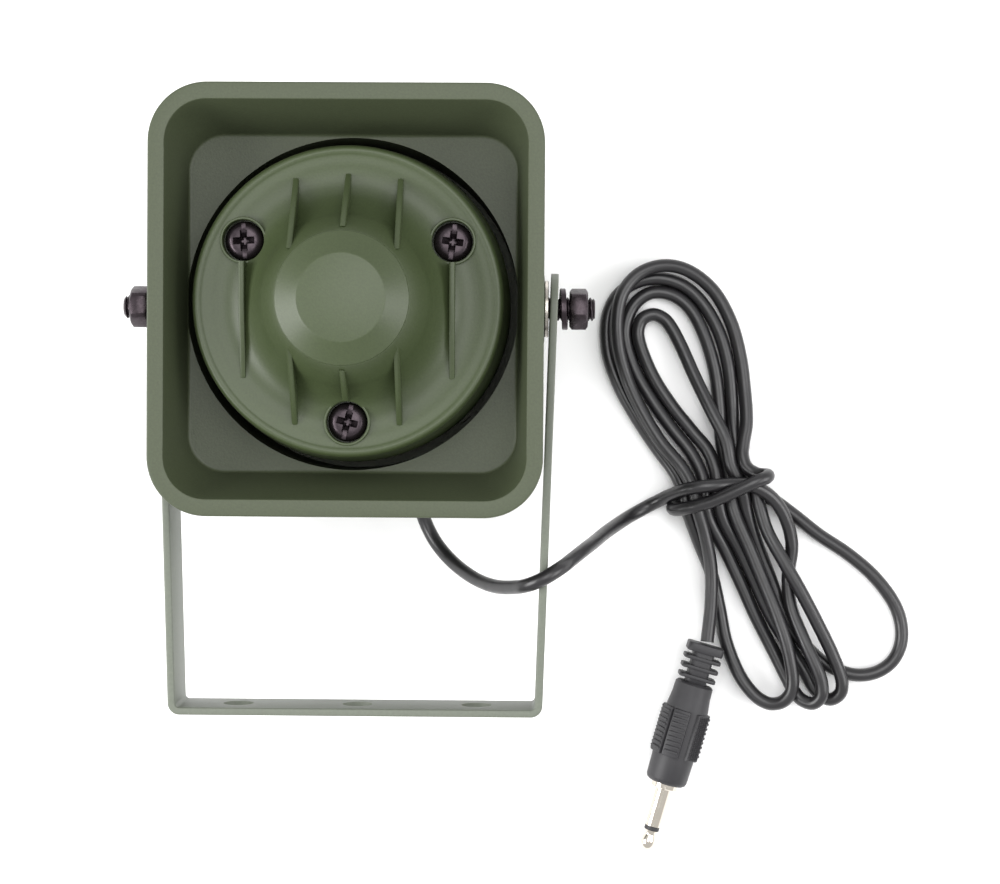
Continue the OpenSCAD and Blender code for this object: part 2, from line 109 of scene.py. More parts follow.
@dataclass(frozen=True)
class Finish:
    """A material's surface, named for what it is and how it was made.

    Attributes:
        name: Common name of the material and its surface.
        slot: Material slot of the record that it stands for; not used.
        colour: Colour of the surface as sRGB hex.
        roughness: Roughness of the surface.
        metallic: One for bare metal.
        ior: Index of refraction of a plastic, paint or oil.
        grain_mm: Size of the surface's grain.
        grain_depth_mm: Height of the grain.
        mottle: How far the colour wanders to both sides, from 0 to 1.
        mottle_mm: Size of the wandering patches.
        rough_spread: How far the roughness wanders to both sides.
        coat: Weight of a clear film of lacquer or oil.
    """

    name: str
    slot: str
    colour: str
    roughness: float
    metallic: float = 0.0
    ior: float = 1.5
    grain_mm: float = 0.5
    grain_depth_mm: float = 0.0
    mottle: float = 0.0
    mottle_mm: float = 1.0
    rough_spread: float = 0.0
    coat: float = 0.0

    def material(self) -> bpy.types.Material:
        """Returns the finish's material, built on its first use."""
        return bpy.data.materials.get(self.name) or self._build()

    def _noise(self, tree: bpy.types.NodeTree, place: bpy.types.NodeSocket, size_mm: float) -> bpy.types.Node:
        """Adds noise with patches of a real size.

        Args:
            tree: Shader tree of the material.
            place: Socket that gives object coordinates.
            size_mm: Size of one patch.

        Returns:
            The noise node.
        """
        return add_node(
            tree,
            "ShaderNodeTexNoise",
            values={"Scale": 1 / (size_mm * MM), "Detail": 2.0, "Roughness": 0.5},
            links={"Vector": place},
        )

    def _build(self) -> bpy.types.Material:
        """Builds the material.

        Returns:
            The material, with grain and mottling on object coordinates.
        """
        material = bpy.data.materials.new(self.name)
        material.use_nodes = True
        tree = material.node_tree
        tree.nodes.clear()
        base = linear(self.colour)
        shader = add_node(
            tree,
            "ShaderNodeBsdfPrincipled",
            values={
                "Base Color": base,
                "Roughness": self.roughness,
                "Metallic": self.metallic,
                "IOR": self.ior,
                "Coat Weight": self.coat,
            },
        )
        place = add_node(tree, "ShaderNodeTexCoord").outputs["Object"]
        if self.mottle:
            ramp = add_node(
                tree,
                "ShaderNodeValToRGB",
                links={"Fac": self._noise(tree, place, self.mottle_mm).outputs["Fac"]},
            )
            for stop, position, side in zip(ramp.color_ramp.elements, (0.3, 0.7), (-1, 1)):
                stop.position = position
                stop.color = (*(min(1.0, c * (1 + side * self.mottle)) for c in base[:3]), 1.0)
            tree.links.new(ramp.outputs["Color"], shader.inputs["Base Color"])
        if self.rough_spread:
            spread = add_node(
                tree,
                "ShaderNodeMapRange",
                values={
                    "From Min": 0.3,
                    "From Max": 0.7,
                    "To Min": self.roughness - self.rough_spread,
                    "To Max": self.roughness + self.rough_spread,
                },
                links={"Value": self._noise(tree, place, self.mottle_mm * 1.7).outputs["Fac"]},
            )
            tree.links.new(spread.outputs["Result"], shader.inputs["Roughness"])
        if self.grain_depth_mm:
            bump = add_node(
                tree,
                "ShaderNodeBump",
                values={"Strength": 1.0, "Distance": self.grain_depth_mm * MM},
                links={"Height": self._noise(tree, place, self.grain_mm).outputs["Fac"]},
            )
            tree.links.new(bump.outputs["Normal"], shader.inputs["Normal"])
        add_node(tree, "ShaderNodeOutputMaterial", links={"Surface": shader.outputs["BSDF"]})
        return material


# Green ABS, moulded against a spark-eroded tool: matt, with a fine grain that breaks the
# light into a soft speckle. The real grain is 0.1 mm; it is drawn as 0.45 mm to show.
GREEN_ABS = Finish(
    "moulded green ABS", "green_abs", "#3c432f", 0.5, ior=1.48, grain_mm=0.45, grain_depth_mm=0.03,
    mottle=0.1, mottle_mm=0.45,
)
# The same ABS on the front disc, cast on a polished tool, so that it shines a little more.
DISC_ABS = Finish(
    "moulded green ABS disc", "green_abs", "#384228", 0.42, ior=1.48, grain_mm=0.45, grain_depth_mm=0.015,
    mottle=0.08, mottle_mm=0.45,
)
# Black ABS of the hidden frame and tube: dark, satin and a little dusty.
BLACK_ABS = Finish("moulded black ABS", "black_abs", "#1b1b1d", 0.5, ior=1.53, mottle=0.1)
# Steel with an oiled black oxide: a dark mirror that gives wide greyish highlights.
BLACK_STEEL = Finish(
    "oiled black oxide steel", "black_steel", "#3c3539", 0.30, metallic=0.85, mottle=0.12, mottle_mm=0.6,
    rough_spread=0.08,
)
# Green polyester powder over steel: even, greyer than the ABS, with a fine orange peel.
POWDER_GREEN = Finish(
    "green powder-coated steel", "painted_bracket", "#62675c", 0.5, ior=1.5, grain_mm=0.6,
    grain_depth_mm=0.02, mottle=0.06, mottle_mm=0.6,
)
# Zinc-plated steel: pale, warm where the light is warm, slightly cloudy.
ZINC = Finish(
    "zinc-plated steel", "zinc_steel", "#c4beb6", 0.28, metallic=1.0, mottle=0.06, rough_spread=0.06,
)
# Turned low-carbon steel of the magnet's plates: plain grey metal.
TURNED_STEEL = Finish("turned plain steel", "plain_steel", "#9b9b9a", 0.35, metallic=1.0, rough_spread=0.08)
# Pressed and fired ferrite: dull, dark and slightly sandy.
FERRITE = Finish(
    "sintered ferrite", "ferrite", "#2d2e31", 0.7, ior=2.0, mottle=0.15, grain_mm=0.3, grain_depth_mm=0.02,
)
# Enamelled copper wire wound on a former: warm metal under a clear film.
COPPER = Finish("enamelled copper wire", "copper", "#b5683c", 0.3, metallic=1.0, coat=0.6)
# Tinned brass tags: yellow metal, softly polished.
BRASS = Finish("stamped brass", "tag_brass", "#c7a24e", 0.3, metallic=1.0, rough_spread=0.06)
# Phenolic-soaked dome: amber and slightly shiny.
DOME_FILM = Finish("phenolic film", "film", "#c6ae78", 0.35, ior=1.6, mottle=0.08)
# Treated cloth edge of the dome: dark and dull.
SURROUND_CLOTH = Finish(
    "doped cloth", "surround_film", "#2b2422", 0.6, grain_mm=0.4, grain_depth_mm=0.03, mottle=0.1,
)
# Closed-cell foam: dead matt with open pores.
FOAM = Finish("closed-cell foam", "foam", "#2a2a2b", 0.9, grain_mm=0.5, grain_depth_mm=0.08, mottle=0.2)
# Phenolic paper board: brown, with a faint mottle of fibres.
BOARD = Finish("phenolic paper board", "board", "#7a4d2a", 0.5, mottle=0.15, mottle_mm=0.8)
# Extruded soft PVC of the lead: near black, with a long soft gloss along its length.
LEAD_PVC = Finish(
    "extruded black PVC", "lead_pvc", "#1c1b1d", 0.33, ior=1.53, grain_mm=0.7, grain_depth_mm=0.008,
    rough_spread=0.05, mottle_mm=1.5,
)
# Red PVC of a conductor's sleeve.
RED_PVC = Finish("extruded red PVC", "red_pvc", "#9a2a25", 0.38, ior=1.53, mottle=0.05)
# Injection-moulded PVC of the plug and the gland: dark grey-black and matt.
PLUG_PVC = Finish(
    "moulded black PVC", "plug_pvc", "#232225", 0.5, ior=1.5, grain_mm=0.5, grain_depth_mm=0.012,
    mottle=0.06,
)
# Bright nickel plate on turned brass: a pale, slightly warm mirror.
NICKEL = Finish("bright nickel plate", "nickel", "#cfc8bd", 0.12, metallic=1.0, rough_spread=0.03)


# ---- meshes ------------------------------------------------------------------------


def new_piece(name: str, points: Sequence, faces: Sequence) -> bpy.types.Object:
    """Makes an object from points in millimetres.

    Args:
        name: Name of the piece.
        points: Corners in millimetres.
        faces: Corner numbers of each face.

    Returns:
        The object, at the origin, with faces that point outwards.
    """
    mesh = bpy.data.meshes.new(name)
    mesh.from_pydata([tuple(c * MM for c in p) for p in points], [], [tuple(f) for f in faces])
    mesh.validate()
    piece = bpy.data.objects.new(name, mesh)
    bpy.context.scene.collection.objects.link(piece)
    face_outwards(piece)
    return piece


def face_outwards(piece: bpy.types.Object) -> None:
    """Turns a closed piece's faces outwards.

    Args:
        piece: The object to put right.
    """
    shell = bmesh.new()
    shell.from_mesh(piece.data)
    bmesh.ops.recalc_face_normals(shell, faces=shell.faces)
    shell.to_mesh(piece.data)
    shell.free()


def skin(name: str, rings: list, ring_closed: bool = False) -> bpy.types.Object:
    """Covers a row of rings with quads.

    Args:
        name: Name of the piece.
        rings: Rings of equally many points; a ring of one point is a pole.
        ring_closed: Joins the last ring to the first instead of closing both ends.

    Returns:
        The closed piece.
    """
    points, rows, faces = [], [], []
    for ring in rings:
        rows.append(list(range(len(points), len(points) + len(ring))))
        points.extend(ring)
    pairs = list(zip(rows, rows[1:])) + ([(rows[-1], rows[0])] if ring_closed else [])
    for low, high in pairs:
        count = max(len(low), len(high))
        for k in range(count):
            a, b = low[k % len(low)], low[(k + 1) % len(low)]
            c, d = high[(k + 1) % len(high)], high[k % len(high)]
            faces.append(list(dict.fromkeys((a, b, c, d))))
    if not ring_closed:
        faces.extend(row for row in (rows[0][::-1], rows[-1]) if len(row) > 2)
    return new_piece(name, points, faces)


def lathe(name: str, profile: Profile, place: Matrix, segments: int = FINE) -> bpy.types.Object:
    """Turns a profile about its axis.

    Args:
        name: Name of the piece.
        profile: Radius and height of each point; a closed loop unless it starts on the axis.
        place: Matrix in millimetres that puts the axis in its place.
        segments: Number of steps round the axis.

    Returns:
        The turned piece.
    """
    angles = [math.tau * k / segments for k in range(segments)]
    rings = [
        [place @ Vector((0, 0, z))] if r < 1e-6
        else [place @ Vector((r * math.cos(a), r * math.sin(a), z)) for a in angles]
        for r, z in profile
    ]
    return skin(name, rings, ring_closed=profile[0][0] > 1e-6)


def prism(name: str, outline: Sequence, low: float, high: float, place: Matrix) -> bpy.types.Object:
    """Raises a flat outline between two heights.

    Args:
        name: Name of the piece.
        outline: Points of the outline in its own plane.
        low: Lower height.
        high: Upper height.
        place: Matrix in millimetres that puts the prism in its place.

    Returns:
        The prism.
    """
    return skin(name, [[place @ Vector((x, y, z)) for x, y in outline] for z in (low, high)])


def bend_through(points: list, steps: int) -> list:
    """Rounds a row of points with a smooth curve through them.

    Args:
        points: Points of two or three numbers each.
        steps: Number of steps between two points.

    Returns:
        Points of the curve, the first and the last among them.
    """
    row = [Vector(p) for p in points]
    row = [row[0] * 2 - row[1], *row, row[-1] * 2 - row[-2]]
    curve = []
    for a, b, c, d in zip(row, row[1:], row[2:], row[3:]):
        ta = max((b - a).length ** 0.5, 1e-4)
        tb = max((c - b).length ** 0.5, 1e-4)
        tc = max((d - c).length ** 0.5, 1e-4)
        start = ((b - a) / ta - (c - a) / (ta + tb) + (c - b) / tb) * tb
        end = ((c - b) / tb - (d - b) / (tb + tc) + (d - c) / tc) * tb
        for k in range(steps):
            t = k / steps
            curve.append(
                b * (2 * t**3 - 3 * t**2 + 1)
                + start * (t**3 - 2 * t**2 + t)
                + c * (3 * t**2 - 2 * t**3)
                + end * (t**3 - t**2)
            )
    return [tuple(p) for p in (*curve, row[-2])]


def settle(piece: bpy.types.Object) -> None:
    """Turns a piece's modifiers into plain mesh."""
    graph = bpy.context.evaluated_depsgraph_get()
    mesh = bpy.data.meshes.new_from_object(piece.evaluated_get(graph), depsgraph=graph)
    old = piece.data
    piece.modifiers.clear()
    piece.data = mesh
    bpy.data.meshes.remove(old)


def combine(piece: bpy.types.Object, tool: bpy.types.Object, way: str) -> None:
    """Adds or cuts a tool shape, then removes the tool.

    Args:
        piece: The piece that is changed.
        tool: The shape that is added or cut away.
        way: UNION, DIFFERENCE or INTERSECT.
    """
    modifier = piece.modifiers.new("combine", "BOOLEAN")
    modifier.operation = way
    modifier.solver = "EXACT"
    modifier.object = tool
    settle(piece)
    bpy.data.objects.remove(tool)


def join(name: str, parts: list) -> bpy.types.Object:
    """Puts closed shells together in one object.

    Args:
        name: Name of the joined piece.
        parts: Objects that go into it; they are removed.

    Returns:
        The joined piece.
    """
    points, faces = [], []
    for part in parts:
        start = len(points)
        points.extend(v.co / MM for v in part.data.vertices)
        faces.extend([start + k for k in f.vertices] for f in part.data.polygons)
        bpy.data.objects.remove(part)
    return new_piece(name, points, faces)


def soften(piece: bpy.types.Object, width: float, angle: float = 40, segments: int = 2) -> None:
    """Rounds a piece's sharp edges.

    Args:
        piece: The piece to bevel.
        width: Width of the rounding.
        angle: Edges that turn less than this many degrees stay.
        segments: Steps across the rounding.
    """
    modifier = piece.modifiers.new("soften", "BEVEL")
    modifier.width = width * MM
    modifier.segments = segments
    modifier.limit_method = "ANGLE"
    modifier.angle_limit = math.radians(angle)
    modifier.use_clamp_overlap = True
    settle(piece)


def dress(piece: bpy.types.Object, finish: Finish, crease: float = 32) -> bpy.types.Object:
    """Shades a new piece and gives it its finish.

    Args:
        piece: The piece.
        finish: Its finish.
        crease: Edges that turn more than this many degrees stay sharp.

    Returns:
        The same piece.
    """
    piece.data.shade_smooth()
    piece.data.set_sharp_from_angle(angle=math.radians(crease))
    piece.data.materials.clear()
    piece.data.materials.append(finish.material())
    return piece


def stand_for(piece: bpy.types.Object, body: str, *nodes: str) -> None:
    """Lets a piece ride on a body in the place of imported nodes.

    Args:
        piece: The finished piece.
        body: Name of the body that carries it.
        nodes: Names of the nodes that it stands for.
    """
    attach(piece, body)
    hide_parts(*nodes)
    LOG.info("%s rides on %s for %s: %d faces", piece.name, body, ", ".join(nodes), len(piece.data.polygons))


# ---- rules for what repeats ----------------------------------------------------------


def new_rule(name: str, inputs: dict) -> tuple:
    """Starts a Geometry Nodes tree with named inputs.

    Args:
        name: Name of the tree.
        inputs: Kind of socket by the input's name.

    Returns:
        The tree and the node that gives its inputs.
    """
    tree = bpy.data.node_groups.new(name, "GeometryNodeTree")
    tree.interface.new_socket(name="Shape", in_out="OUTPUT", socket_type="NodeSocketGeometry")
    for label, kind in {"Part": "Geometry", **inputs, "Finish": "Material"}.items():
        tree.interface.new_socket(name=label, in_out="INPUT", socket_type="NodeSocket" + kind)
    return tree, add_node(tree, "NodeGroupInput").outputs


def end_rule(
    tree: bpy.types.NodeTree, shape: bpy.types.NodeSocket, finish: bpy.types.NodeSocket
) -> bpy.types.NodeTree:
    """Ends a tree in real geometry with its material.

    Args:
        tree: The tree.
        shape: Socket that gives the instances.
        finish: Socket that gives the material.

    Returns:
        The finished tree.
    """
    real = add_node(tree, "GeometryNodeRealizeInstances", links={0: shape})
    dressed = add_node(
        tree, "GeometryNodeSetMaterial", links={"Geometry": real.outputs[0], "Material": finish}
    )
    add_node(tree, "NodeGroupOutput", links={0: dressed.outputs[0]})
    return tree


def ring_rule() -> bpy.types.NodeTree:
    """Builds the rule that sets a part round a circle.

    Returns:
        Tree with the count, the radius, the first place and the turn of each of four parts.
    """
    turns = {f"Turn {k}": "Float" for k in range(4)}
    sizes = {"Count": "Int", "Radius": "Float", "First": "Float"}
    tree, given = new_rule("parts round a circle", {**sizes, **turns})
    circle = add_node(
        tree, "GeometryNodeMeshCircle", links={"Vertices": given["Count"], "Radius": given["Radius"]}
    )
    lean = add_node(tree, "ShaderNodeCombineXYZ", links={"Z": given["First"]})
    placed = add_node(
        tree, "GeometryNodeTransform", links={"Geometry": circle.outputs[0], "Rotation": lean.outputs[0]}
    )
    pick = add_node(tree, "GeometryNodeIndexSwitch", {"data_type": "FLOAT"})
    for _ in range(2):
        pick.index_switch_items.new()
    index = add_node(tree, "GeometryNodeInputIndex")
    tree.links.new(index.outputs[0], pick.inputs[0])
    for k in range(4):
        tree.links.new(given[f"Turn {k}"], pick.inputs[k + 1])
    turn = add_node(tree, "ShaderNodeCombineXYZ", links={"Z": pick.outputs[0]})
    copies = add_node(
        tree,
        "GeometryNodeInstanceOnPoints",
        links={"Points": placed.outputs[0], "Instance": given["Part"], "Rotation": turn.outputs[0]},
    )
    return end_rule(tree, copies.outputs[0], given["Finish"])


def row_rule() -> bpy.types.NodeTree:
    """Builds the rule that repeats a part along a line.

    Returns:
        Tree with the count and the step from one part to the next.
    """
    tree, given = new_rule("parts in a row", {"Count": "Int", "Step": "Vector"})
    line = add_node(tree, "GeometryNodeMeshLine", links={"Count": given["Count"], "Offset": given["Step"]})
    copies = add_node(
        tree, "GeometryNodeInstanceOnPoints", links={"Points": line.outputs[0], "Instance": given["Part"]}
    )
    return end_rule(tree, copies.outputs[0], given["Finish"])


def follow(piece: bpy.types.Object, tree: bpy.types.NodeTree, finish: Finish, **inputs: object) -> None:
    """Runs a rule on a piece and keeps the result as plain mesh.

    Args:
        piece: The part that the rule repeats.
        tree: The rule.
        finish: Finish of the result.
        inputs: Values of the rule's inputs, with _ for a space.
    """
    modifier = piece.modifiers.new("rule", "NODES")
    modifier.node_group = tree
    values = {"Finish": finish.material(), **{k.replace("_", " "): v for k, v in inputs.items()}}
    for item in tree.interface.items_tree:
        if item.in_out == "INPUT" and item.name in values:
            modifier[item.identifier] = values[item.name]
    settle(piece)


# ---- the frame's axes, the camera and the lead -----------------------------------------


@dataclass(frozen=True)
class Datum:
    """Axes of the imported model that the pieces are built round.

    Attributes:
        horn_y: Y of the horn's axis.
        pivot_z: Height of the bracket's pivot axis.
    """

    horn_y: float
    pivot_z: float

    @classmethod
    def read(cls) -> "Datum":
        """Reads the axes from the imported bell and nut."""
        bell_low, bell_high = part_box("horn_bell")
        nut_low, nut_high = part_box("nut_left")
        return cls((bell_low[1] + bell_high[1]) / 2 / MM, (nut_low[2] + nut_high[2]) / 2 / MM)

    def horn(self, x: float = 0, y: float = 0) -> Matrix:
        """Returns the place of the horn's axis, or of a point beside it."""
        return Matrix.Translation((x, self.horn_y + y, 0))

    def round_horn(self, radius: float, first: float, count: int) -> list[Matrix]:
        """Returns evenly spaced places on a circle about the horn's axis, the first at that angle."""
        angles = [math.radians(first + 360 * k / count) for k in range(count)]
        return [self.horn(radius * math.cos(a), radius * math.sin(a)) for a in angles]

    def side(self, sign: int) -> Matrix:
        """Returns the pivot axis, outwards to the side of that sign."""
        pivot = Matrix.Translation((0, self.horn_y, self.pivot_z))
        return pivot @ Matrix.Rotation(sign * math.pi / 2, 4, "Y")

    def rearward(self, x: float, z: float) -> Matrix:
        """Returns the axis towards the foot at that X and height."""
        return Matrix.Translation((x, self.horn_y, z)) @ Matrix.Rotation(math.pi / 2, 4, "X")


@dataclass(frozen=True)
class CameraRig:
    """The camera over the speaker.

    Attributes:
        place: Position in metres.
        turn: Rotation about X, Y and Z in degrees.
        lens: Focal length.
        sensor: Width of the sensor.
    """

    place: Point = (0.03626, 0.00181, 0.48957)
    turn: Point = (-1.05, 0.785, 0.378)
    lens: float = 77.47
    sensor: float = 36.0

    def build(self) -> bpy.types.Object:
        """Returns the camera, which becomes the scene's own."""
        data = bpy.data.cameras.new("camera")
        data.lens, data.sensor_width = self.lens, self.sensor
        data.clip_start, data.clip_end = 0.01, 20
        camera = bpy.data.objects.new("camera", data)
        camera.location = self.place
        camera.rotation_euler = [math.radians(a) for a in self.turn]
        bpy.context.scene.collection.objects.link(camera)
        bpy.context.scene.camera = camera
        return camera


LEAD_ROUTE: tuple[Point, ...] = (
    (11.5, -19.3, 13), (13.2, -24.7, 11.5), (15.2, -28.7, 11.7), (17.7, -31.8, 13.5), (20.9, -34.5, 16.9),
    (25.3, -36.8, 23.1), (29.5, -37.6, 29.9), (33.8, -37.1, 36.6), (35.5, -36.6, 39.3), (37.5, -35.8, 41.1),
    (39.9, -34.6, 41.7), (42.1, -33.3, 40.8), (43.8, -32.3, 38.8), (45.1, -31.5, 36), (48, -29.8, 28.7),
    (50.6, -28.4, 21.3), (53.3, -26.8, 13.9), (56.7, -25, 6.9), (59.1, -23.7, 3.6), (61.2, -22.6, 2.2),
    (63.6, -21.3, 1.8), (65.8, -20.1, 2.9), (67.7, -19, 4.7), (71.8, -17.2, 9.1), (74.3, -16.7, 10.1),
    (77.1, -16.4, 10.2), (81.5, -16.1, 9), (85.9, -16.4, 7.9), (90.4, -18.8, 6.3), (93.6, -22.9, 4.9),
    (95.7, -29.7, 3.3), (95, -37.1, 2.7), (95.5, -43.8, 4), (98.3, -51.1, 5.4), (101.6, -58.4, 6),
    (102.4, -61.1, 5.8), (102.4, -63.8, 5.4), (100.7, -65.6, 4.4), (98.3, -65, 3.4), (96.5, -63, 2.7),
    (95, -60.2, 2.3), (91.4, -53.1, 1.8), (87.7, -46, 1.8), (84.4, -38.7, 1.9), (80.9, -31.5, 2.1),
    (77.1, -24.6, 3.3), (76.1, -21.4, 4.1), (75.6, -18, 4.3), (75.3, -14.6, 3.7), (73, -9.6, 2.8),
    (68.3, -3.6, 2.1), (63.7, 2.9, 1.9), (59.8, 9.9, 1.8), (57.7, 17.6, 1.8), (58.7, 22.2, 1.8),
    (60.7, 25.1, 1.8), (63.6, 26.8, 1.8), (66.9, 26.8, 1.8), (70, 25.5, 1.8), (72.8, 22.8, 1.9),
    (75.6, 17.5, 1.9), (78, 9.8, 1.8), (79.1, 1.9, 1.9), (79.7, -6.1, 2), (81.2, -13.9, 2.9),
    (81.6, -18.6, 4.3), (82.8, -23.3, 4.7), (86, -30.6, 4.8), (89.1, -38, 5.1), (92.1, -45.4, 5.8),
    (94.6, -53, 6.2), (95.9, -60.6, 5.8), (95.4, -63.3, 5.4), (93.6, -65.3, 4.8), (91, -65.8, 4.1),
    (88.5, -64.7, 3.5), (86.5, -62.8, 3.1), (84.2, -59.5, 2.6), (81.2, -52.1, 1.9), (79.6, -44.3, 1.6),
    (77.7, -36.5, 1.7), (74.7, -29.2, 2.6), (71.9, -21.9, 4.2), (70.9, -17.7, 4), (69.2, -13.8, 2.9),
    (64.8, -7.8, 1.8), (60.4, -1.2, 1.7), (56.5, 5.8, 1.8), (53.9, 13.4, 1.8), (53.8, 21.3, 1.9),
    (56, 26.1, 1.9), (60, 29.1, 1.9), (65, 30.1, 1.9), (70.2, 28.8, 1.9), (74.4, 25.5, 1.8),
    (78.6, 18.9, 1.8), (81, 11.3, 1.8), (82, 3.4, 1.8), (82.6, -4.6, 1.9), (84, -11.4, 2.5),
    (87.2, -17.4, 4.2), (88.3, -21.5, 4.6), (89.9, -26.6, 4.8), (93.7, -33.6, 5.4), (97.7, -40.5, 5.4),
    (101.5, -47.6, 5), (105, -54.7, 4.6), (107.2, -60.9, 4.2), (106.8, -63.5, 3.6), (104.7, -64.9, 2.8),
    (102.3, -63.7, 2.2), (100.6, -61.5, 2), (99.3, -59, 1.9), (95, -52.3, 1.7), (90.9, -45.4, 1.6),
    (87.5, -38.2, 1.9), (84, -31, 2.5), (80.1, -24.1, 3.7), (78.7, -18.8, 4.5), (78.3, -13.3, 3.9),
    (76.5, -8.6, 3), (73.3, -4.7, 2.3), (68.3, 1.5, 2), (64, 8.2, 2), (61, 15.6, 2.1),
    (60.7, 18.4, 2.1), (61.7, 20.9, 2.2), (64.2, 21.9, 2.2), (66.7, 20.8, 2.2), (68.4, 18.6, 2.3),
    (70.3, 15, 2.6), (73.5, 7.8, 3.6), (76.9, 0.7, 5), (80.4, -6.4, 5.7), (81.6, -12, 5.8),
    (82.9, -14.7, 5.7), (84.2, -17.4, 5.2), (85.4, -22.3, 3.8), (87.9, -29.7, 2.4), (90.9, -37.2, 1.9),
    (93.8, -44.6, 1.6), (98, -51.4, 1.5), (103.7, -56.9, 1.5), (110.1, -59.4, 1.5), (114.8, -59, 1.5),
    (118.5, -56.7, 1.5), (120.6, -53, 1.5), (120.9, -48.6, 1.5), (119.4, -43.6, 1.5), (114.7, -37.2, 1.5),
    (108.6, -32, 1.5), (101.9, -27.6, 1.5), (95.6, -22.7, 1.5), (90.7, -19.5, 1.5), (85.6, -18.8, 1.5),
    (78.5, -19.5, 1.5), (71.2, -20.4, 1.5), (69, -21.4, 2.8), (68.9, -22, 5.4), (70.5, -21.8, 7.6),
    (72.8, -21.2, 9.1), (77, -19.9, 10.3), (84.1, -16.6, 11.8), (86.6, -15.4, 11.9), (89, -14.5, 11),
    (89.5, -14, 8.5), (87.3, -13.8, 6.7), (85.1, -12.4, 5.9), (84.2, -9.9, 5.3), (84.4, -7.2, 4.6),
    (85.2, -2.5, 3.5), (84.8, 5.4, 2.3), (83.7, 13.3, 1.9), (81.4, 20.9, 2), (77.3, 27.7, 2.4),
    (71.3, 32, 3.3), (65.8, 32.8, 4.2), (60.8, 31, 5), (57.3, 27.1, 5.6), (55.9, 22, 5.7),
    (56.1, 14.9, 5.2), (58.2, 7.2, 4.5), (61.6, 0, 4.2), (65.8, -6.8, 4.5), (70.9, -13, 5.3),
    (73.1, -17.5, 6.2), (74.3, -22.4, 6.2), (75.8, -27.3, 5.4), (77.4, -35.1, 4.7), (77.5, -43.1, 4.7),
    (76.6, -51.8, 5.4),
)


@dataclass(frozen=True)
class Lead:
    """The lead from the gland, round its tied hank and on to the plug.

    Attributes:
        route: Points that its middle passes through.
        diameter: Diameter of the sheath.
        steps: Steps between two points of the route.
    """

    route: tuple[Point, ...] = LEAD_ROUTE
    diameter: float = 3.0
    steps: int = 6

    def middle(self) -> list[Point]:
        """Returns the smooth centreline, never lower than the lead's radius."""
        return [(x, y, max(z, self.diameter / 2)) for x, y, z in bend_through(list(self.route), self.steps)]

    def build(self) -> bpy.types.Object:
        """Builds the lead as one open curve.

        Returns:
            The curve, dressed and riding on the housing.
        """
        points = self.middle()
        curve = bpy.data.curves.new("lead", "CURVE")
        curve.dimensions = "3D"
        curve.bevel_depth = self.diameter / 2 * MM
        curve.bevel_resolution = 4
        curve.use_fill_caps = True
        spline = curve.splines.new("POLY")
        spline.points.add(len(points) - 1)
        for target, point in zip(spline.points, points):
            target.co = (*(c * MM for c in point), 1)
        spline.use_smooth = True
        piece = bpy.data.objects.new("lead", curve)
        bpy.context.scene.collection.objects.link(piece)
        curve.materials.append(LEAD_PVC.material())
        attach(piece, "housing")
        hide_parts("lead_run", "lead_hank", "lead_tail")
        return piece


# ---- the horn ------------------------------------------------------------------------


def box_ring(width: float, height: float, corner: float, z: float, count: int = 360) -> list:
    """Points of a rounded rectangle at even angles.

    Args:
        width: Size across X.
        height: Size across Y.
        corner: Corner radius.
        z: Height of the ring.
        count: Number of points.

    Returns:
        The points, anticlockwise from +X.
    """
    x, y = width / 2 - corner, height / 2 - corner
    ring = []
    for k in range(count):
        angle = math.tau * k / count
        dx, dy = abs(math.cos(angle)), abs(math.sin(angle))
        if dx > 1e-9 and width / 2 / dx * dy <= y:
            reach = width / 2 / dx
        elif dy > 1e-9 and height / 2 / dy * dx <= x:
            reach = height / 2 / dy
        else:
            along = dx * x + dy * y
            reach = along + math.sqrt(max(along**2 - x**2 - y**2 + corner**2, 0))
        ring.append((reach * math.cos(angle), reach * math.sin(angle), z))
    return ring


def round_corner(a: Sequence, b: Sequence, c: Sequence, steps: int = 4) -> list:
    """Rounds the way from a over the corner b to c, for rows of equally many numbers."""
    return [
        tuple((1 - t) ** 2 * p + 2 * t * (1 - t) * q + t * t * r for p, q, r in zip(a, b, c))
        for t in (k / steps for k in range(steps + 1))
    ]


def inset(section: Sequence, by: float) -> tuple:
    """Returns a rounded rectangle's width, height, corner radius and z, drawn in on every side."""
    width, height, corner, z = section
    return (width - 2 * by, height - 2 * by, corner - by, z)


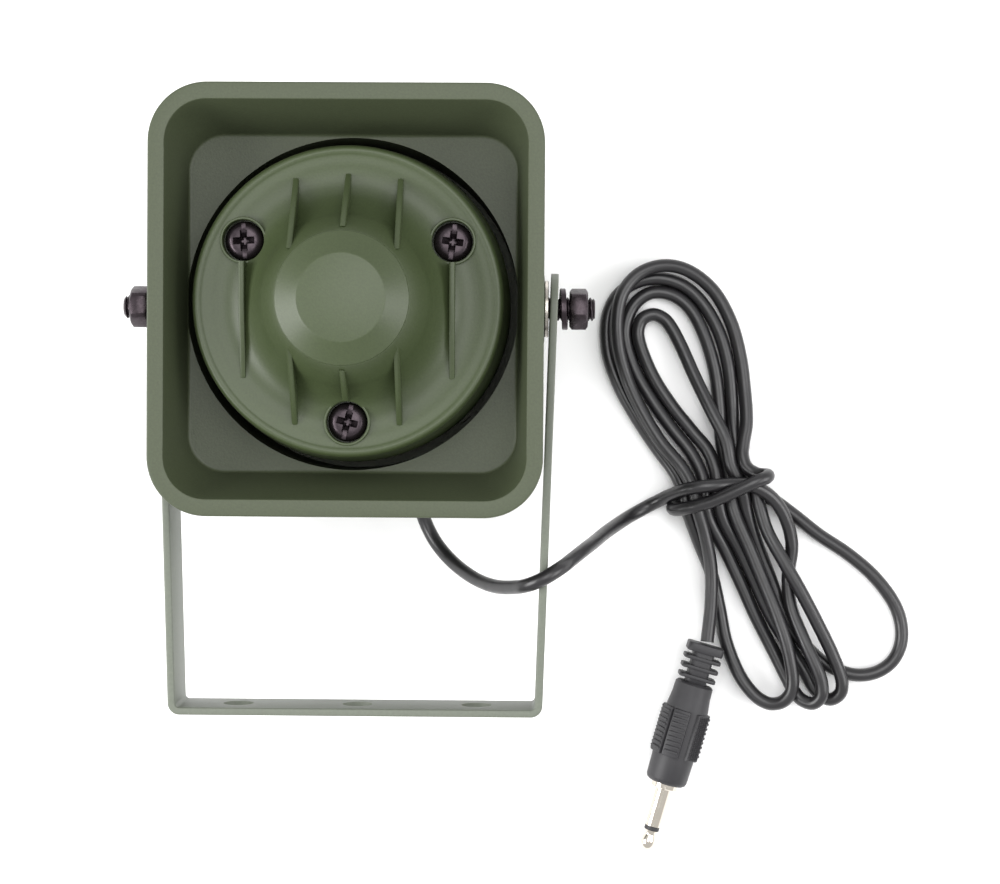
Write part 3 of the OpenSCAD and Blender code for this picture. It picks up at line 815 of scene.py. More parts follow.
@dataclass(frozen=True)
class HornBell:
    """The green mouth with its flat rim, its floor and the chamber behind it.

    Attributes:
        mouth: Width, height, corner radius and height above the table of the rim's outside.
        rim_inside: The same of the rim's inner edge.
        floor: The same of the floor.
        waist: The same of the outside behind the floor.
        band_z: Lower edge of the straight band behind the rim.
        chamber_r: Outer radius of the chamber.
        bore_r: Inner radius of the chamber.
        chamber_z: Back edge, top of the baffle and top of the round part of the chamber.
        throat_r: Radius of the hole in the baffle.
        boss_r: Radius of the side bosses.
        boss_x: Start and end of a side boss from the middle.
        post_circles: Radius of the circle, first angle, count, radius and top of the screw posts.
    """

    mouth: tuple = (78, 85.3, 11.7, 68)
    rim_inside: tuple = (71.4, 78.5, 8.3, 68)
    floor: tuple = (67.5, 69.1, 7.7, 49.4)
    waist: tuple = (72.3, 73.9, 10.1, 46.5)
    band_z: float = 61
    chamber_r: float = 36.9
    bore_r: float = 33.95
    chamber_z: tuple = (24, 27, 38)
    throat_r: float = 10
    boss_r: float = 7.5
    boss_x: tuple = (34.6, 39.3)
    post_circles: tuple = ((24, 30, 3, 3.6, 56.2), (29.4, 45, 4, 3.4, 32))

    def sections(self) -> list:
        """Returns width, height, corner and z of each ring, from the back over the rim to the floor."""
        back, _, top = self.chamber_z
        r = self.chamber_r
        w, h, c, z = self.mouth
        iw, ih, ic, _ = self.rim_inside
        foot = [p + (q - p) * 0.96 for p, q in zip(self.rim_inside, self.floor)]
        back_edge = (inset((2 * r, 2 * r, r, back), 0.5), (2 * r, 2 * r, r, back), (2 * r, 2 * r, r, back + 0.5))
        outer_edge = ((w, h, c, z - 0.4), self.mouth, inset(self.mouth, 0.4))
        inner_edge = (inset(self.rim_inside, -0.25), self.rim_inside, (iw - 0.06, ih - 0.15, ic, z - 0.3))
        return [
            *round_corner(*back_edge),
            (2 * r, 2 * r, r, top),
            self.waist,
            (w, h, c, self.band_z),
            *round_corner(*outer_edge),
            *round_corner(*inner_edge, 3),
            *round_corner(foot, self.floor, inset(self.floor, 0.7)),
        ]

    def build(self, datum: Datum) -> bpy.types.Object:
        """Builds the bell.

        Args:
            datum: Axes of the model.

        Returns:
            The bell, dressed and riding on the housing.
        """
        place = datum.horn()
        back, baffle, _ = self.chamber_z
        floor = self.floor[3]
        rings = [[place @ Vector(p) for p in box_ring(*section)] for section in self.sections()]
        rings = [[place @ Vector((0, 0, back))], *rings, [place @ Vector((0, 0, floor))]]
        bell = skin("horn_bell_shell", rings)
        bore = [
            (0, back - 1), (self.throat_r, back - 1), (self.throat_r, baffle), (self.bore_r, baffle),
            (self.bore_r, floor + 0.3), (0, floor + 0.3),
        ]
        combine(bell, lathe("bore", bore, place, 360), "DIFFERENCE")
        start, end = self.boss_x
        boss = [
            (0, start), (self.boss_r, start), (self.boss_r, end - 0.5), (self.boss_r - 0.15, end - 0.15),
            (self.boss_r - 0.5, end), (0, end),
        ]
        parts = [bell, *(lathe("boss", boss, datum.side(s), 96) for s in (-1, 1))]
        low = baffle - 0.5
        for circle, first, count, radius, top in self.post_circles:
            post = [(0, low), (radius, low), (radius, top), (0, top)]
            parts.extend(lathe("post", post, place, 48) for place in datum.round_horn(circle, first, count))
        piece = join("horn_bell_green", parts)
        dress(piece, GREEN_ABS, 28)
        stand_for(piece, "housing", "horn_bell")
        return piece


@dataclass(frozen=True)
class Reflector:
    """The front disc with its bead, trough, cone and nose, its ribs and its screw bosses.

    Attributes:
        nose: Radius and height of the points from the middle to the foot of the steep cone.
        flare: Points from the steep cone over the trough and the bead to the edge.
        inside: Points of the back, from the skirt's bottom to the middle.
        rib_t: Thickness of a rib.
        ribs: Distance from the middle and outline, as Y and Z, of each rib.
        screw_circle: Radius of the circle of the three bosses.
        boss: Radius, bottom and top of a boss.
        recess: Radius and height of a boss's seat.
    """

    nose: tuple = (
        (0, 78.6), (8.45, 78.6), (8.7, 78.52), (8.9, 78.36), (12.75, 76.4), (12.95, 76.25), (13.05, 75.95),
        (13.3, 75.7), (16.1, 69.9),
    )
    flare: tuple = (
        (16.4, 69.4), (17.3, 67.4), (18.5, 65.4), (20, 63.6), (21.5, 62.4), (23, 61.8), (24.5, 61.6),
        (26, 61.72), (27.5, 62.0), (29, 62.2), (29.5, 62.4), (30, 62.5), (30.5, 62.3), (30.9, 61.7),
        (31.1, 60.7), (31.1, 59.9),
    )
    inside: tuple = (
        (30.9, 59.3), (30.95, 58.6), (31.5, 55.5), (32.1, 50.5), (32.2, 49), (32.2, 34.3), (31.9, 34),
        (30.2, 34), (30.2, 50), (28.6, 58), (26.4, 59.4), (24.5, 59.2), (22.6, 59.6), (19.6, 61.6),
        (16.2, 65.4), (11.8, 73.8), (8, 76.4), (0, 76.6),
    )
    rib_t: float = 1.15
    ribs: tuple = (
        (10.4, ((24.4, 62.2), (24.4, 60.4), (16, 62.5), (9.6, 72.6), (9.6, 74.4))),
        (10.4, ((-8.2, 74.6), (-8.2, 72.8), (-16, 62.5), (-24.6, 60.4), (-24.6, 62.1))),
        (0, ((25.4, 61.9), (25.4, 60), (19, 63), (17, 66.6), (13.6, 73.6), (13.9, 75))),
        (0, ((-13.9, 75), (-13.6, 73.6), (-17, 66.6), (-20.6, 61.6), (-20.6, 65.4))),
        (20.8, ((9, 65.4), (9, 60.6), (0, 61.6), (-15.4, 60), (-15.4, 61.9), (0, 65.2))),
    )
    screw_circle: float = 24
    boss: tuple = (4.65, 56.2, 62.6)
    recess: tuple = (4.15, 59.4)

    def _blades(self, datum: Datum) -> bpy.types.Object:
        """Builds the ribs as blades with rounded edges.

        Args:
            datum: Axes of the model.

        Returns:
            All the ribs in one object.
        """
        blades = []
        stand = datum.horn() @ Matrix.Rotation(math.pi / 2, 4, "Z") @ Matrix.Rotation(math.pi / 2, 4, "X")
        for reach, outline in self.ribs:
            for x in {reach, -reach}:
                blade = prism("rib", outline, x - self.rib_t / 2, x + self.rib_t / 2, stand)
                soften(blade, 0.3, 20)
                blades.append(blade)
        return join("ribs", blades)

    def build(self, datum: Datum) -> bpy.types.Object:
        """Builds the front disc.

        Args:
            datum: Axes of the model.

        Returns:
            The disc, dressed and riding on the housing.
        """
        flare = bend_through(list(self.flare), 6)
        profile = [*self.nose, *flare, *self.inside]
        disc = lathe("disc", profile, datum.horn(), 256)
        radius, low, high = self.boss
        seat_r, seat = self.recess
        edge, above = 0.12, high + 4
        places = datum.round_horn(self.screw_circle, 30, 3)
        boss = [(0, low), (radius, low), (radius, high - edge), (radius - edge, high), (0, high)]
        bosses = join("bosses", [lathe("boss", boss, p, 96) for p in places])
        well = [
            (0, seat), (seat_r, seat), (seat_r, high - edge), (seat_r + edge, high), (seat_r + 0.2, above),
            (0, above),
        ]
        wells = join("wells", [lathe("well", well, p, 96) for p in places])
        combine(disc, bosses, "UNION")
        combine(disc, self._blades(datum), "UNION")
        combine(disc, wells, "DIFFERENCE")
        disc.name = disc.data.name = "reflector_green"
        dress(disc, DISC_ABS, 26)
        stand_for(disc, "housing", "reflector")
        return disc


@dataclass(frozen=True)
class CrossScrew:
    """A pan-head screw with a cross recess and a slot, set round a circle by a rule.

    Attributes:
        name: Name of the set.
        node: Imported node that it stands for.
        head: Radius and height of the head.
        shank: Radius and length of the shank.
        circle: Radius of the circle.
        first: Angle of the first screw in degrees.
        seat: Height of the seat of the heads.
        turns: Turn of each screw in degrees.
        slotted: Has a slot across the cross.
    """

    name: str
    node: str
    head: tuple
    shank: tuple
    circle: float
    first: float
    seat: float
    turns: tuple
    slotted: bool

    def _cross(self, scale: float, z: float) -> list:
        """Returns the outline of the cross at one depth."""
        arm, half = 0.56 * self.head[0] * scale, 0.18 * self.head[0] * scale
        corner = [(arm, -half), (arm, half), (half, half)]
        ring = []
        for k in range(4):
            turn = Matrix.Rotation(k * math.pi / 2, 2)
            ring.extend((*(turn @ Vector(p)), z) for p in corner)
        return ring

    def one(self) -> bpy.types.Object:
        """Returns one screw that stands on its seat at the origin."""
        r, h = self.head
        crown = ((1, 0.3), (0.97, 0.5), (0.86, 0.74), (0.66, 0.92), (0.35, 0.99), (0, 1))
        dome = bend_through([(across * r, up * h) for across, up in crown], 4)
        shank_r, length = self.shank
        profile = [
            (0, -length), (shank_r * 0.7, -length), (shank_r, 0.8 - length), (shank_r, 0), (r - 0.1, 0),
            (r, 0.1), *dome,
        ]
        screw = lathe("screw", profile, Matrix(), 96)
        cross = skin("cross", [self._cross(0.32, 0.1 * h), self._cross(1.05, 1.05 * h)])
        combine(screw, cross, "DIFFERENCE")
        if self.slotted:
            wide = 0.12 * r
            outline = [(-wide, -2 * r), (wide, -2 * r), (wide, 2 * r), (-wide, 2 * r)]
            combine(screw, prism("slot", outline, 0.66 * h, 2 * h, Matrix()), "DIFFERENCE")
        soften(screw, 0.05, 35, 1)
        return screw

    def build(self, datum: Datum, rule: bpy.types.NodeTree, backwards: bool) -> bpy.types.Object:
        """Builds the set of screws.

        Args:
            datum: Axes of the model.
            rule: Rule that sets parts round a circle.
            backwards: The heads face the back.

        Returns:
            The screws in one object, riding on the housing.
        """
        piece = self.one()
        if backwards:
            piece.data.transform(Matrix.Rotation(math.pi, 4, "X"))
        turns = {f"Turn_{k}": math.radians(a) for k, a in enumerate(self.turns)}
        follow(
            piece, rule, BLACK_STEEL, Count=len(self.turns), Radius=self.circle * MM,
            First=math.radians(self.first), **turns,
        )
        piece.data.transform(Matrix.Translation((0, datum.horn_y * MM, self.seat * MM)))
        piece.name = piece.data.name = self.name
        dress(piece, BLACK_STEEL, 30)
        stand_for(piece, "housing", self.node)
        return piece


# ---- bracket and side fasteners ----------------------------------------------------------


@dataclass(frozen=True)
class Bracket:
    """The U of painted strip with rounded leg ends and three holes in its foot.

    Attributes:
        reach: From the pivot to the foot's outer face.
        width: Width of the strip.
        thick: Thickness of the strip.
        splay: Splay of each leg in degrees.
        leg_out: Outer face of a leg from the middle, at the pivot.
        bend_r: Outer radius of the two bends.
        edge: Rounding of the strip's edges.
        hole_d: Diameter of the foot's holes.
        pitch: Distance from hole to hole.
        pivot_d: Diameter of the holes for the bolts.
    """

    reach: float = 86
    width: float = 15
    thick: float = 1.6
    splay: float = 1.8
    leg_out: float = 42.05
    bend_r: float = 2.5
    edge: float = 0.35
    hole_d: float = 6.4
    pitch: float = 25.4
    pivot_d: float = 5.16

    def _line(self) -> list:
        """Returns place, outward normal and half width along the right half, from the foot's middle."""
        tilt = math.radians(self.splay)
        bend_y = self.bend_r - self.reach
        leg = (-bend_y + self.bend_r * math.sin(tilt)) / math.cos(tilt)
        bend_x = self.leg_out - self.bend_r * math.cos(tilt) - leg * math.sin(tilt)
        middle, half = self.bend_r - self.thick / 2, self.width / 2
        line = [((bend_x * k / 8, -self.reach + self.thick / 2), (0, -1), half) for k in range(8)]
        for k in range(13):
            angle = -math.pi / 2 + (math.pi / 2 - tilt) * k / 12
            out = (math.cos(angle), math.sin(angle))
            line.append(((bend_x + middle * out[0], bend_y + middle * out[1]), out, half))
        out = (math.cos(tilt), -math.sin(tilt))
        root = (bend_x + middle * out[0], bend_y + middle * out[1])
        along = (math.sin(tilt), math.cos(tilt))
        pivot = -root[1] / along[1]
        for k in range(1, 10):
            step = pivot * k / 9
            line.append(((root[0] + along[0] * step, root[1] + along[1] * step), out, half))
        for k in range(1, 17):
            angle = math.radians(86) * k / 16
            step = pivot + half * math.sin(angle)
            line.append(((root[0] + along[0] * step, root[1] + along[1] * step), out, half * math.cos(angle)))
        return line

    def _section(self, at: tuple, out: tuple, half: float, z: float) -> list:
        """Returns the strip's rounded section at one point of the line."""
        ring, e, t = [], min(self.edge, half * 0.9), self.thick / 2
        for a, b, first in ((1, 1, 0), (-1, 1, 90), (-1, -1, 180), (1, -1, 270)):
            for k in range(4):
                angle = math.radians(first + 30 * k)
                across = a * (t - e) + e * math.cos(angle)
                up = b * (half - e) + e * math.sin(angle)
                ring.append((at[0] + out[0] * across, at[1] + out[1] * across, z + up))
        return ring

    def _drill(self, face: float, diameter: float) -> Profile:
        """Returns the profile of a drill that goes well through the strip behind a face."""
        start, end, radius = face - 4, face + 4, diameter / 2
        return [(0, start), (radius, start), (radius, end), (0, end)]

    def build(self, datum: Datum) -> bpy.types.Object:
        """Builds the bracket.

        Args:
            datum: Axes of the model.

        Returns:
            The bracket, dressed and riding on its own body.
        """
        right = self._line()
        left = [((-p[0], p[1]), (-n[0], n[1]), w) for p, n, w in right[:0:-1]]
        place = datum.horn()
        rings = []
        for at, out, half in left + right:
            ring = [place @ Vector(p) for p in self._section(at, out, half, datum.pivot_z)]
            rings.append(ring)
        piece = skin("bracket_green", rings)
        drill, pin = self._drill(self.reach, self.hole_d), self._drill(self.leg_out, self.pivot_d)
        holes = [lathe("hole", drill, datum.rearward(k * self.pitch, datum.pivot_z), 64) for k in (-1, 0, 1)]
        holes += [lathe("hole", pin, datum.side(s), 64) for s in (-1, 1)]
        combine(piece, join("holes", holes), "DIFFERENCE")
        dress(piece, POWDER_GREEN, 32)
        stand_for(piece, "bracket", "bracket")
        return piece


class Side(Enum):
    """Side of the horn that a set of fasteners is on."""

    LEFT = -1
    RIGHT = 1


@dataclass(frozen=True)
class SideFasteners:
    """Bolt, washers and nut of one side, as distances outwards along the pivot axis.

    Attributes:
        side: Side of the horn.
        tip: End of the bolt.
        head_x: Start and end of the bolt's head.
        flat_x: Start and end of the flat washer.
        spring_x: Start and end of the spring washer.
        nut_x: Start and end of the nut.
        bolt_r: Radius over the thread.
        root_r: Radius at the thread's root.
        lead: Advance of the thread in a turn.
        flats: Width across the flats.
        flat_r: Outer radius of the flat washer.
        spring_r: Inner and outer radius of the spring washer.
        wire: Thickness of the spring washer.
        nut_turn: Turn of the nut in degrees.
    """

    side: Side
    tip: float = 50
    head_x: tuple = (34.2, 37.7)
    flat_x: tuple = (39.35, 40.15)
    spring_x: tuple = (42.35, 44.45)
    nut_x: tuple = (44.6, 48.5)
    bolt_r: float = 2.5
    root_r: float = 2.02
    lead: float = 0.8
    flats: float = 8
    flat_r: float = 6
    spring_r: tuple = (2.62, 4.4)
    wire: float = 1.15
    nut_turn: float = 0

    @property
    def label(self) -> str:
        """Name of the side as the nodes have it."""
        return self.side.name.lower()

    def _hexagon(self, turn: float = 0) -> list:
        """Returns the corners of a hexagon over the flats."""
        reach = self.flats / 2 / math.cos(math.pi / 6)
        angles = [math.radians(turn + 60 * k) for k in range(6)]
        return [(reach * math.cos(a), reach * math.sin(a)) for a in angles]

    def bolt(self, axis: Matrix) -> bpy.types.Object:
        """Returns the bolt with its thread and its hexagon head."""
        head = prism("head", self._hexagon(), *self.head_x, axis)
        start, rings, sides = self.flat_x[0], [], 48
        count = round((self.tip - start) / self.lead * 8)
        for k in range(count + 1):
            z = start + (self.tip - start) * k / count
            ring = []
            for m in range(sides):
                phase = (z / self.lead - m / sides) % 1
                tooth = min(1.0, max(0.0, 1.5 * abs(2 * phase - 1) - 0.15))
                thread_r = self.root_r + (self.bolt_r - self.root_r) * tooth
                r = min(thread_r, self.bolt_r - 0.6 + 1.1 * (self.tip - z))
                angle = math.tau * m / sides
                ring.append(axis @ Vector((r * math.cos(angle), r * math.sin(angle), z)))
            rings.append(ring)
        rod = skin("rod", rings)
        low, high = self.head_x[1] - 0.3, start + 0.2
        neck = lathe("neck", [(0, low), (self.bolt_r, low), (self.bolt_r, high), (0, high)], axis, 64)
        return join(f"bolt_{self.label}", [head, neck, rod])

    def flat_washer(self, axis: Matrix) -> bpy.types.Object:
        """Returns the flat washer with its stamped edges."""
        low, high = self.flat_x
        hole, rim, edge = self.bolt_r + 0.1, self.flat_r, 0.12
        profile = [
            (hole, low), (rim - edge, low), (rim, low + edge), (rim, high - edge), (rim - edge, high),
            (hole, high),
        ]
        return lathe(f"washer_{self.label}", profile, axis, 128)

    def spring_washer(self, axis: Matrix) -> bpy.types.Object:
        """Returns one turn of square wire whose ends stand apart."""
        inner, outer = self.spring_r
        rise = self.spring_x[1] - self.spring_x[0] - self.wire
        rings, steps, c = [], 72, 0.12
        outline = [
            (inner + c, 0), (outer - c, 0), (outer, c), (outer, self.wire - c), (outer - c, self.wire),
            (inner + c, self.wire), (inner, self.wire - c), (inner, c),
        ]
        for k in range(steps + 1):
            angle = math.radians(10 + 340 * k / steps)
            z, x, y = self.spring_x[0] + rise * k / steps, math.cos(angle), math.sin(angle)
            rings.append([axis @ Vector((r * x, r * y, z + h)) for r, h in outline])
        return skin(f"spring_{self.label}", rings)

    def nut(self, axis: Matrix) -> bpy.types.Object:
        """Returns the nut, chamfered on both faces."""
        low, high = self.nut_x
        nut = prism(f"nut_{self.label}_black", self._hexagon(self.nut_turn), low, high, axis)
        face_r, side_r, slant = 3.7, 4.4, 0.5
        cone = [
            (0, low), (face_r, low), (side_r, low + slant), (side_r, high - slant), (face_r, high), (0, high),
        ]
        combine(nut, lathe("cone", cone, axis, 96), "INTERSECT")
        bore_r = self.bolt_r + 0.05
        bore = [
            (0, low - 1), (bore_r + 1.4, low - 1), (bore_r, low + 0.4), (bore_r, high - 0.35),
            (bore_r + 1.35, high + 1), (0, high + 1),
        ]
        combine(nut, lathe("bore", bore, axis, 64), "DIFFERENCE")
        soften(nut, 0.07, 25, 1)
        return nut

    def build(self, datum: Datum) -> list[bpy.types.Object]:
        """Builds the four pieces of this side.

        Args:
            datum: Axes of the model.

        Returns:
            Bolt, flat washer, spring washer and nut.
        """
        axis = datum.side(self.side.value)
        pieces = (
            (self.bolt(axis), BLACK_STEEL, "housing", "side_bolt"),
            (self.flat_washer(axis), ZINC, "housing", "flat_washer"),
            (self.spring_washer(axis), BLACK_STEEL, "housing", "spring_washer"),
            (self.nut(axis), BLACK_STEEL, f"nut_{self.label}", "nut"),
        )
        for piece, finish, body, node in pieces:
            dress(piece, finish, 30)
            stand_for(piece, body, f"{node}_{self.label}")
        return [piece for piece, *_ in pieces]


# ---- rear housing ------------------------------------------------------------------------


@dataclass(frozen=True)
class RearHousing:
    """The cover behind the chamber and the gland that lets the lead out.

    Attributes:
        radius: Outer radius of the cover.
        top: Height of the joint with the gasket.
        wall: Thickness of the cover's wall.
        floor: Thickness of its floor.
        round_r: Rounding of its back edge.
        screw_circle: Radius of the circle of the four screws.
        column_r: Radius of the screw columns.
        recess: Radius and depth of the recess of a screw.
        gland: X and height of the gland's axis.
        boss: Radius, start and end of the gland's boss, from the horn's axis.
    """

    radius: float = 36
    top: float = 23.2
    wall: float = 2.2
    floor: float = 2.4
    round_r: float = 6
    screw_circle: float = 29.4
    column_r: float = 3.8
    recess: tuple = (3.1, 5)
    gland: tuple = (11.5, 13)
    boss: tuple = (6.2, 29, 36.4)

    def cover(self, datum: Datum) -> bpy.types.Object:
        """Builds the cover.

        Args:
            datum: Axes of the model.

        Returns:
            The cover, dressed and riding on the housing.
        """
        r, arc = self.radius, []
        for k in range(13):
            angle = math.radians(7.5 * k)
            arc.append((r - self.round_r * (1 - math.sin(angle)), self.round_r * (1 - math.cos(angle))))
        inner = r - self.wall
        profile = [
            (0, 0), *arc, (r, self.top - 0.3), (r - 0.3, self.top), (inner, self.top), (inner, 7),
            (inner - 1, 4.3), (inner - 4, self.floor), (0, self.floor),
        ]
        cover = lathe("rear_cover_green", profile, datum.horn())
        places = datum.round_horn(self.screw_circle, 45, 4)
        low, (rr, depth) = self.floor - 1, self.recess
        column = [(0, low), (self.column_r, low), (self.column_r, self.top), (0, self.top)]
        combine(cover, join("columns", [lathe("column", column, p, 64) for p in places]), "UNION")
        axis = datum.rearward(*self.gland)
        boss_r, start, end = self.boss
        boss = [(0, start), (boss_r, start), (boss_r, end - 0.4), (boss_r - 0.4, end), (0, end)]
        combine(cover, lathe("gland boss", boss, axis, 96), "UNION")
        well = [(0, -1), (rr + 0.3, -1), (rr + 0.3, 0), (rr, 0.3), (rr, depth), (0, depth)]
        combine(cover, join("wells", [lathe("well", well, p, 64) for p in places]), "DIFFERENCE")
        low, high, hole_r = start - 2, end + 2.6, 3.4
        hole = [(0, low), (hole_r, low), (hole_r, high), (0, high)]
        combine(cover, lathe("gland hole", hole, axis, 64), "DIFFERENCE")
        dress(cover, GREEN_ABS, 28)
        stand_for(cover, "housing", "rear_cover")
        return cover

    def gland_piece(self, datum: Datum) -> bpy.types.Object:
        """Builds the gland with the rings of its strain relief.

        Args:
            datum: Axes of the model.

        Returns:
            The gland, dressed and riding on the housing.
        """
        bore, low, end = 1.5, 28.3, 41
        _, inner, outer = self.boss
        neck, flange = 3.4, 5
        profile = [
            (bore, low), (flange - 0.2, low), (flange, low + 0.2), (flange, inner), (neck, inner), (neck, outer),
            (flange, outer), (flange, outer + 0.9), (flange - 0.3, outer + 1.2), (neck, outer + 1.2),
        ]
        for k in range(3):
            start, r = outer + 1.5 + 0.95 * k, 3.3 - 0.3 * k
            groove = ((0.55, 0), (0.55, 0.35), (0.05, 0.45), (0.15, 0.9))
            profile += [(r - deep, start + along) for deep, along in groove]
        profile += [(2.3, end - 0.1), (2.1, end), (bore, end)]
        gland = lathe("gland_black", profile, datum.rearward(*self.gland), 96)
        dress(gland, PLUG_PVC, 30)
        stand_for(gland, "housing", "cable_gland")
        return gland


# ---- the plug ----------------------------------------------------------------------------


@dataclass(frozen=True)
class Plug:
    """The moulded mono plug: boot, grip, sleeve, insulating ring and tip.

    Attributes:
        place: Start of the boot in the model.
        turn: Turn of its axis about Z in degrees.
        boot_end: Length of the boot.
        grip_end: End of the grip from the start of the boot.
        barrel_r: Radius of the plain barrel.
        collar: Start, end, width and height of the boot's first block.
        fin: The same of its first fin.
        fin_step: Distance from fin to fin.
        neck: Width and height of the neck between the fins.
        pads: Angle of each raised pad in degrees from the top, and whether it is knurled.
        pad_span: Start and end of the pads.
        pad_size: Distance of a pad's face from the axis, and half its width.
        pin_r: Radius of the pin.
        sleeve: Length of the sleeve in front of its collar, and of the collar.
        ring: Length of the insulating ring.
    """

    place: Point = (76.4, -52.4, 5.5)
    turn: float = -106
    boot_end: float = 9
    grip_end: float = 32.4
    barrel_r: float = 4.65
    collar: tuple = (0, 1.9, 8.1, 6.6)
    fin: tuple = (2.9, 3.75, 8.4, 6.2)
    fin_step: float = 2.15
    neck: tuple = (4.8, 5.2)
    pads: tuple = (
        (-64, False), (-15, False), (50, True), (100, False), (-115, True), (-165, False), (150, False),
    )
    pad_span: tuple = (15.2, 26)
    pad_size: tuple = (5.15, 1.95)
    pin_r: float = 1.75
    sleeve: tuple = (9, 1.3)
    ring: float = 0.8

    def axis(self) -> Matrix:
        """Returns the plug's axis, with its own -X upwards."""
        return (
            Matrix.Translation(self.place)
            @ Matrix.Rotation(math.radians(self.turn), 4, "Z")
            @ Matrix.Rotation(math.pi / 2, 4, "Y")
        )

    def boot(self, rule: bpy.types.NodeTree) -> bpy.types.Object:
        """Builds the boot: a collar, a slim neck and flat fins.

        Args:
            rule: Rule that repeats a part along a line.

        Returns:
            The boot, not dressed yet.
        """
        fin = self._flat(*self.fin)
        follow(fin, rule, PLUG_PVC, Count=3, Step=(0, 0, self.fin_step * MM))
        neck = self._flat(0.5, self.boot_end + 0.3, *self.neck)
        boot = join("plug_boot_black", [self._flat(*self.collar), neck, fin])
        boot.data.transform(self._metres())
        return boot

    def _flat(self, low: float, high: float, wide: float, tall: float) -> bpy.types.Object:
        """Returns a block of the boot with round corners, on the plug's own axis."""
        section = [(x, y) for x, y, _ in box_ring(tall, wide, 1.1, 0, 48)]
        block = prism("block", section, low, high, Matrix())
        soften(block, 0.2, 40)
        return block

    def _metres(self) -> Matrix:
        """Returns the plug's axis for a mesh in metres."""
        axis = self.axis()
        return Matrix.Translation(axis.translation * MM) @ axis.to_3x3().to_4x4()

    def _pad(self, angle: float, knurled: bool, rule: bpy.types.NodeTree) -> list:
        """Builds one raised pad with its ridges or its knurl.

        Args:
            angle: Angle from the top in degrees.
            knurled: Has a knurl of small pyramids instead of ridges.
            rule: Rule that repeats a part along a line.

        Returns:
            The pad and its pattern, on the plug's own axis.
        """
        low, high = self.pad_span
        reach, half = self.pad_size
        outline = [(3.5, -half), (reach, -half), (reach, half), (3.5, half)]
        pad = prism("pad", outline, low, high, Matrix())
        soften(pad, 0.2, 40)
        if knurled:
            studs = []
            for row in range(2):
                for k in range(5 - row):
                    y, z = -1.5 + 0.75 * k + 0.375 * row, low + 0.6 + 0.42 * row
                    studs.append(skin("stud", [
                        [(x, y - across, z), (x, y, z - along), (x, y + across, z), (x, y, z + along)]
                        for x, across, along in ((reach - 0.02, 0.34, 0.38), (reach + 0.3, 0.08, 0.08))
                    ]))
            pattern, count, step = join("knurl", studs), 12, 0.84
        else:
            foot, crest = reach - 0.1, reach + 0.32
            ridge = [(foot, 0.25 - half), (crest, 0.35 - half), (crest, half - 0.35), (foot, half - 0.25)]
            pattern, count, step = prism("ridge", ridge, low + 0.7, low + 1.2, Matrix()), 9, 1.08
            soften(pattern, 0.12, 40)
        follow(pattern, rule, PLUG_PVC, Count=count, Step=(0, 0, step * MM))
        turn = Matrix.Rotation(math.radians(180 - angle), 4, "Z")
        for part in (pad, pattern):
            part.data.transform(turn)
        return [pad, pattern]

    def grip(self, rule: bpy.types.NodeTree) -> bpy.types.Object:
        """Builds the grip: a shoulder, the raised pads and a plain barrel.

        Args:
            rule: Rule that repeats a part along a line.

        Returns:
            The grip, not dressed yet.
        """
        start, end, r = self.boot_end, self.grip_end, self.barrel_r
        outline = [
            (0, start), (3.9, start), (4.3, start + 0.4), (4.4, start + 3), (4.75, start + 5.6),
            (4.8, start + 7), (4.8, end - 6.8), (r + 0.1, end - 5.6), (r, end - 1), (r - 0.25, end - 0.4),
            (r - 0.8, end), (0, end),
        ]
        parts = [lathe("barrel", outline, Matrix(), 96)]
        for angle, knurled in self.pads:
            parts.extend(self._pad(angle, knurled, rule))
        grip = join("plug_grip_black", parts)
        grip.data.transform(self._metres())
        return grip

    def metal(self) -> list:
        """Builds sleeve, insulating ring and tip.

        Returns:
            Piece, finish and node of each.
        """
        axis, r = self.axis(), self.pin_r
        start = self.grip_end
        length, collar = self.sleeve
        shoulder = start + collar
        front = shoulder + length
        tip = front + self.ring
        sleeve = [
            (0, start), (2.75, start), (2.9, start + 0.15), (2.9, shoulder - 0.2), (2.7, shoulder),
            (r, shoulder), (r, front - 0.1), (r - 0.1, front), (0, front),
        ]
        ring = [(0, front), (r - 0.03, front), (r - 0.03, tip), (0, tip)]
        bullet = (
            (0, 0), (1.6, 0), (1.67, 0.1), (1.3, 0.7), (1.22, 0.95), (1.3, 1.3), (1.55, 2), (1.65, 2.7),
            (1.62, 3.3), (1.4, 3.9), (1.0, 4.4), (0.5, 4.65), (0, 4.7),
        )
        point = [(across, tip + along) for across, along in bullet]
        return [
            (lathe("plug_sleeve_nickel", sleeve, axis, 96), NICKEL, "plug_sleeve"),
            (lathe("plug_ring_black", ring, axis, 96), PLUG_PVC, "plug_insulator"),
            (lathe("plug_tip_nickel", point, axis, 96), NICKEL, "plug_tip"),
        ]

    def build(self, rule: bpy.types.NodeTree) -> list[bpy.types.Object]:
        """Builds the whole plug.

        Args:
            rule: Rule that repeats a part along a line.

        Returns:
            The pieces that go with the lead.
        """
        pieces = [
            (self.boot(rule), PLUG_PVC, "plug_boot"),
            (self.grip(rule), PLUG_PVC, "plug_grip"),
            *self.metal(),
        ]
        for piece, finish, node in pieces:
            dress(piece, finish, 34)
            stand_for(piece, "housing", node)
        return [piece for piece, *_ in pieces]


# ---- what is held inside -------------------------------------------------------------------


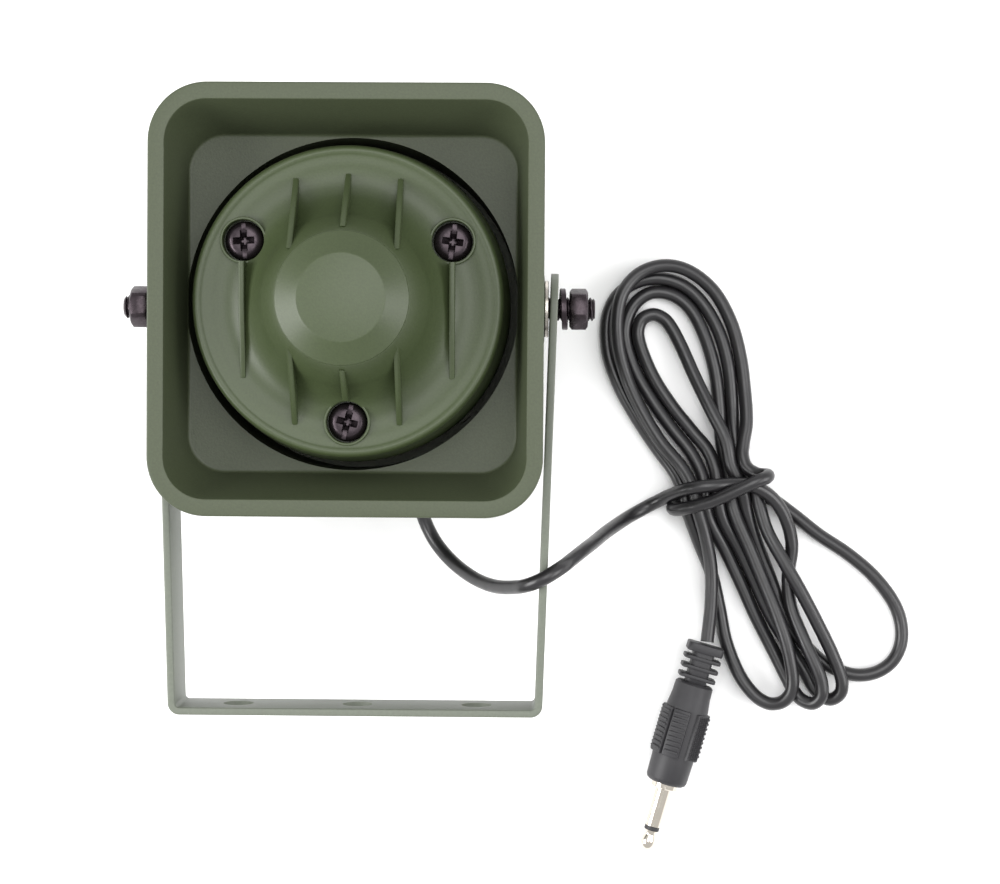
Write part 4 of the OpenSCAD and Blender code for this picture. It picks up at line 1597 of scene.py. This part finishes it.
@dataclass(frozen=True)
class InnerWorks:
    """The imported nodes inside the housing, which keep their shape.

    Attributes:
        finishes: Finish of each node.
    """

    finishes: tuple = (
        ("throat_tube", BLACK_ABS), ("throat_gasket", FOAM), ("driver_frame", BLACK_ABS),
        ("surround", SURROUND_CLOTH), ("diaphragm", DOME_FILM), ("voice_coil", COPPER),
        ("top_plate", TURNED_STEEL), ("ring_magnet", FERRITE), ("yoke", TURNED_STEEL), ("clamp_pad", FOAM),
        ("terminal_board", BOARD), ("solder_tags", BRASS), ("wire_red", RED_PVC), ("wire_black", LEAD_PVC),
        ("cable_end", LEAD_PVC), ("rear_gasket", FOAM),
    )

    def build(self) -> None:
        """Gives each node its finish."""
        for node, finish in self.finishes:
            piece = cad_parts[node]
            if not piece.material_slots:
                piece.data.materials.append(finish.material())
            for place in piece.material_slots:
                place.material = finish.material()
            LOG.info("%s keeps its shape, in %s", node, finish.name)


# ---- the studio ------------------------------------------------------------------------------


@dataclass(frozen=True)
class Softbox:
    """A square soft light.

    Attributes:
        name: Name of the light.
        place: Position in metres.
        size: Side in metres.
        power: Power in watts.
    """

    name: str
    place: Point
    size: float
    power: float


@dataclass(frozen=True)
class Studio:
    """Plain white floor, soft lights and an even surrounding.

    Attributes:
        floor_size: Side of the floor in metres.
        floor_drop: How far the floor lies below the feet of the model, in metres.
        aim: Point that the lights face.
        surround: Strength of the even light from all around.
        boxes: The soft lights.
    """

    floor_size: float = 3.0
    floor_drop: float = 0.0002
    aim: Point = (0.03, 0.0, 0.03)
    surround: float = 0.85
    boxes: tuple = (
        Softbox("left box", (-0.55, -0.1, 0.4), 0.45, 5.0),
        Softbox("right box", (0.65, -0.05, 0.45), 0.45, 3.0),
        Softbox("top box", (0.1, 0.15, 0.85), 0.6, 3.6),
    )

    def _floor(self) -> None:
        """Lays the floor of matt white paper."""
        half = self.floor_size / 2 / MM
        down = -self.floor_drop / MM
        corners = [(-half, -half, down), (half, -half, down), (half, half, down), (-half, half, down)]
        floor = new_piece("floor", corners, [(0, 1, 2, 3)])
        paper = Finish("matt white paper", "", "#fafafa", 0.9, ior=1.4)
        floor.data.materials.append(paper.material())

    def build(self) -> None:
        """Builds the floor, the surround and the lights."""
        self._floor()
        world = bpy.data.worlds.new("studio")
        world.use_nodes = True
        world.node_tree.nodes.clear()
        sky = add_node(
            world.node_tree, "ShaderNodeBackground", values={"Color": (1, 1, 1, 1), "Strength": self.surround}
        )
        add_node(world.node_tree, "ShaderNodeOutputWorld", links={"Surface": sky.outputs[0]})
        bpy.context.scene.world = world
        for box in self.boxes:
            data = bpy.data.lights.new(box.name, "AREA")
            data.size, data.energy = box.size, box.power
            light = bpy.data.objects.new(box.name, data)
            light.location = box.place
            sight = Vector(self.aim) - Vector(box.place)
            light.rotation_euler = sight.to_track_quat("-Z", "Y").to_euler()
            bpy.context.scene.collection.objects.link(light)
        bpy.context.scene.view_settings.view_transform = "Standard"
        LOG.info("studio: %d soft lights", len(self.boxes))


FRONT_SCREWS = CrossScrew(
    "front_screws_black", "front_screws", (3.9, 2.4), (1.9, 16), 24, 30, 59.4, (-7.5, 3, -13.5), True
)
REAR_SCREWS = CrossScrew(
    "rear_screws_black", "rear_screws", (2.8, 2.0), (1.45, 25), 29.4, 45, 5, (20, 64, 35, 8), False
)


def main() -> None:
    """Builds the camera, the lead and every piece in order."""
    logging.basicConfig(level=logging.INFO, format="%(name)s: %(message)s")
    CameraRig().build()
    lead = Lead()
    cord = lead.build()
    datum = Datum.read()
    ring, row = ring_rule(), row_rule()
    HornBell().build(datum)
    Reflector().build(datum)
    FRONT_SCREWS.build(datum, ring, backwards=False)
    REAR_SCREWS.build(datum, ring, backwards=True)
    Bracket().build(datum)
    SideFasteners(Side.LEFT, nut_turn=34).build(datum)
    SideFasteners(Side.RIGHT, nut_turn=22).build(datum)
    housing = RearHousing()
    housing.cover(datum)
    housing.gland_piece(datum)
    Plug().build(row)
    InnerWorks().build()
    Studio().build()


if __name__ == "__main__":
    main()
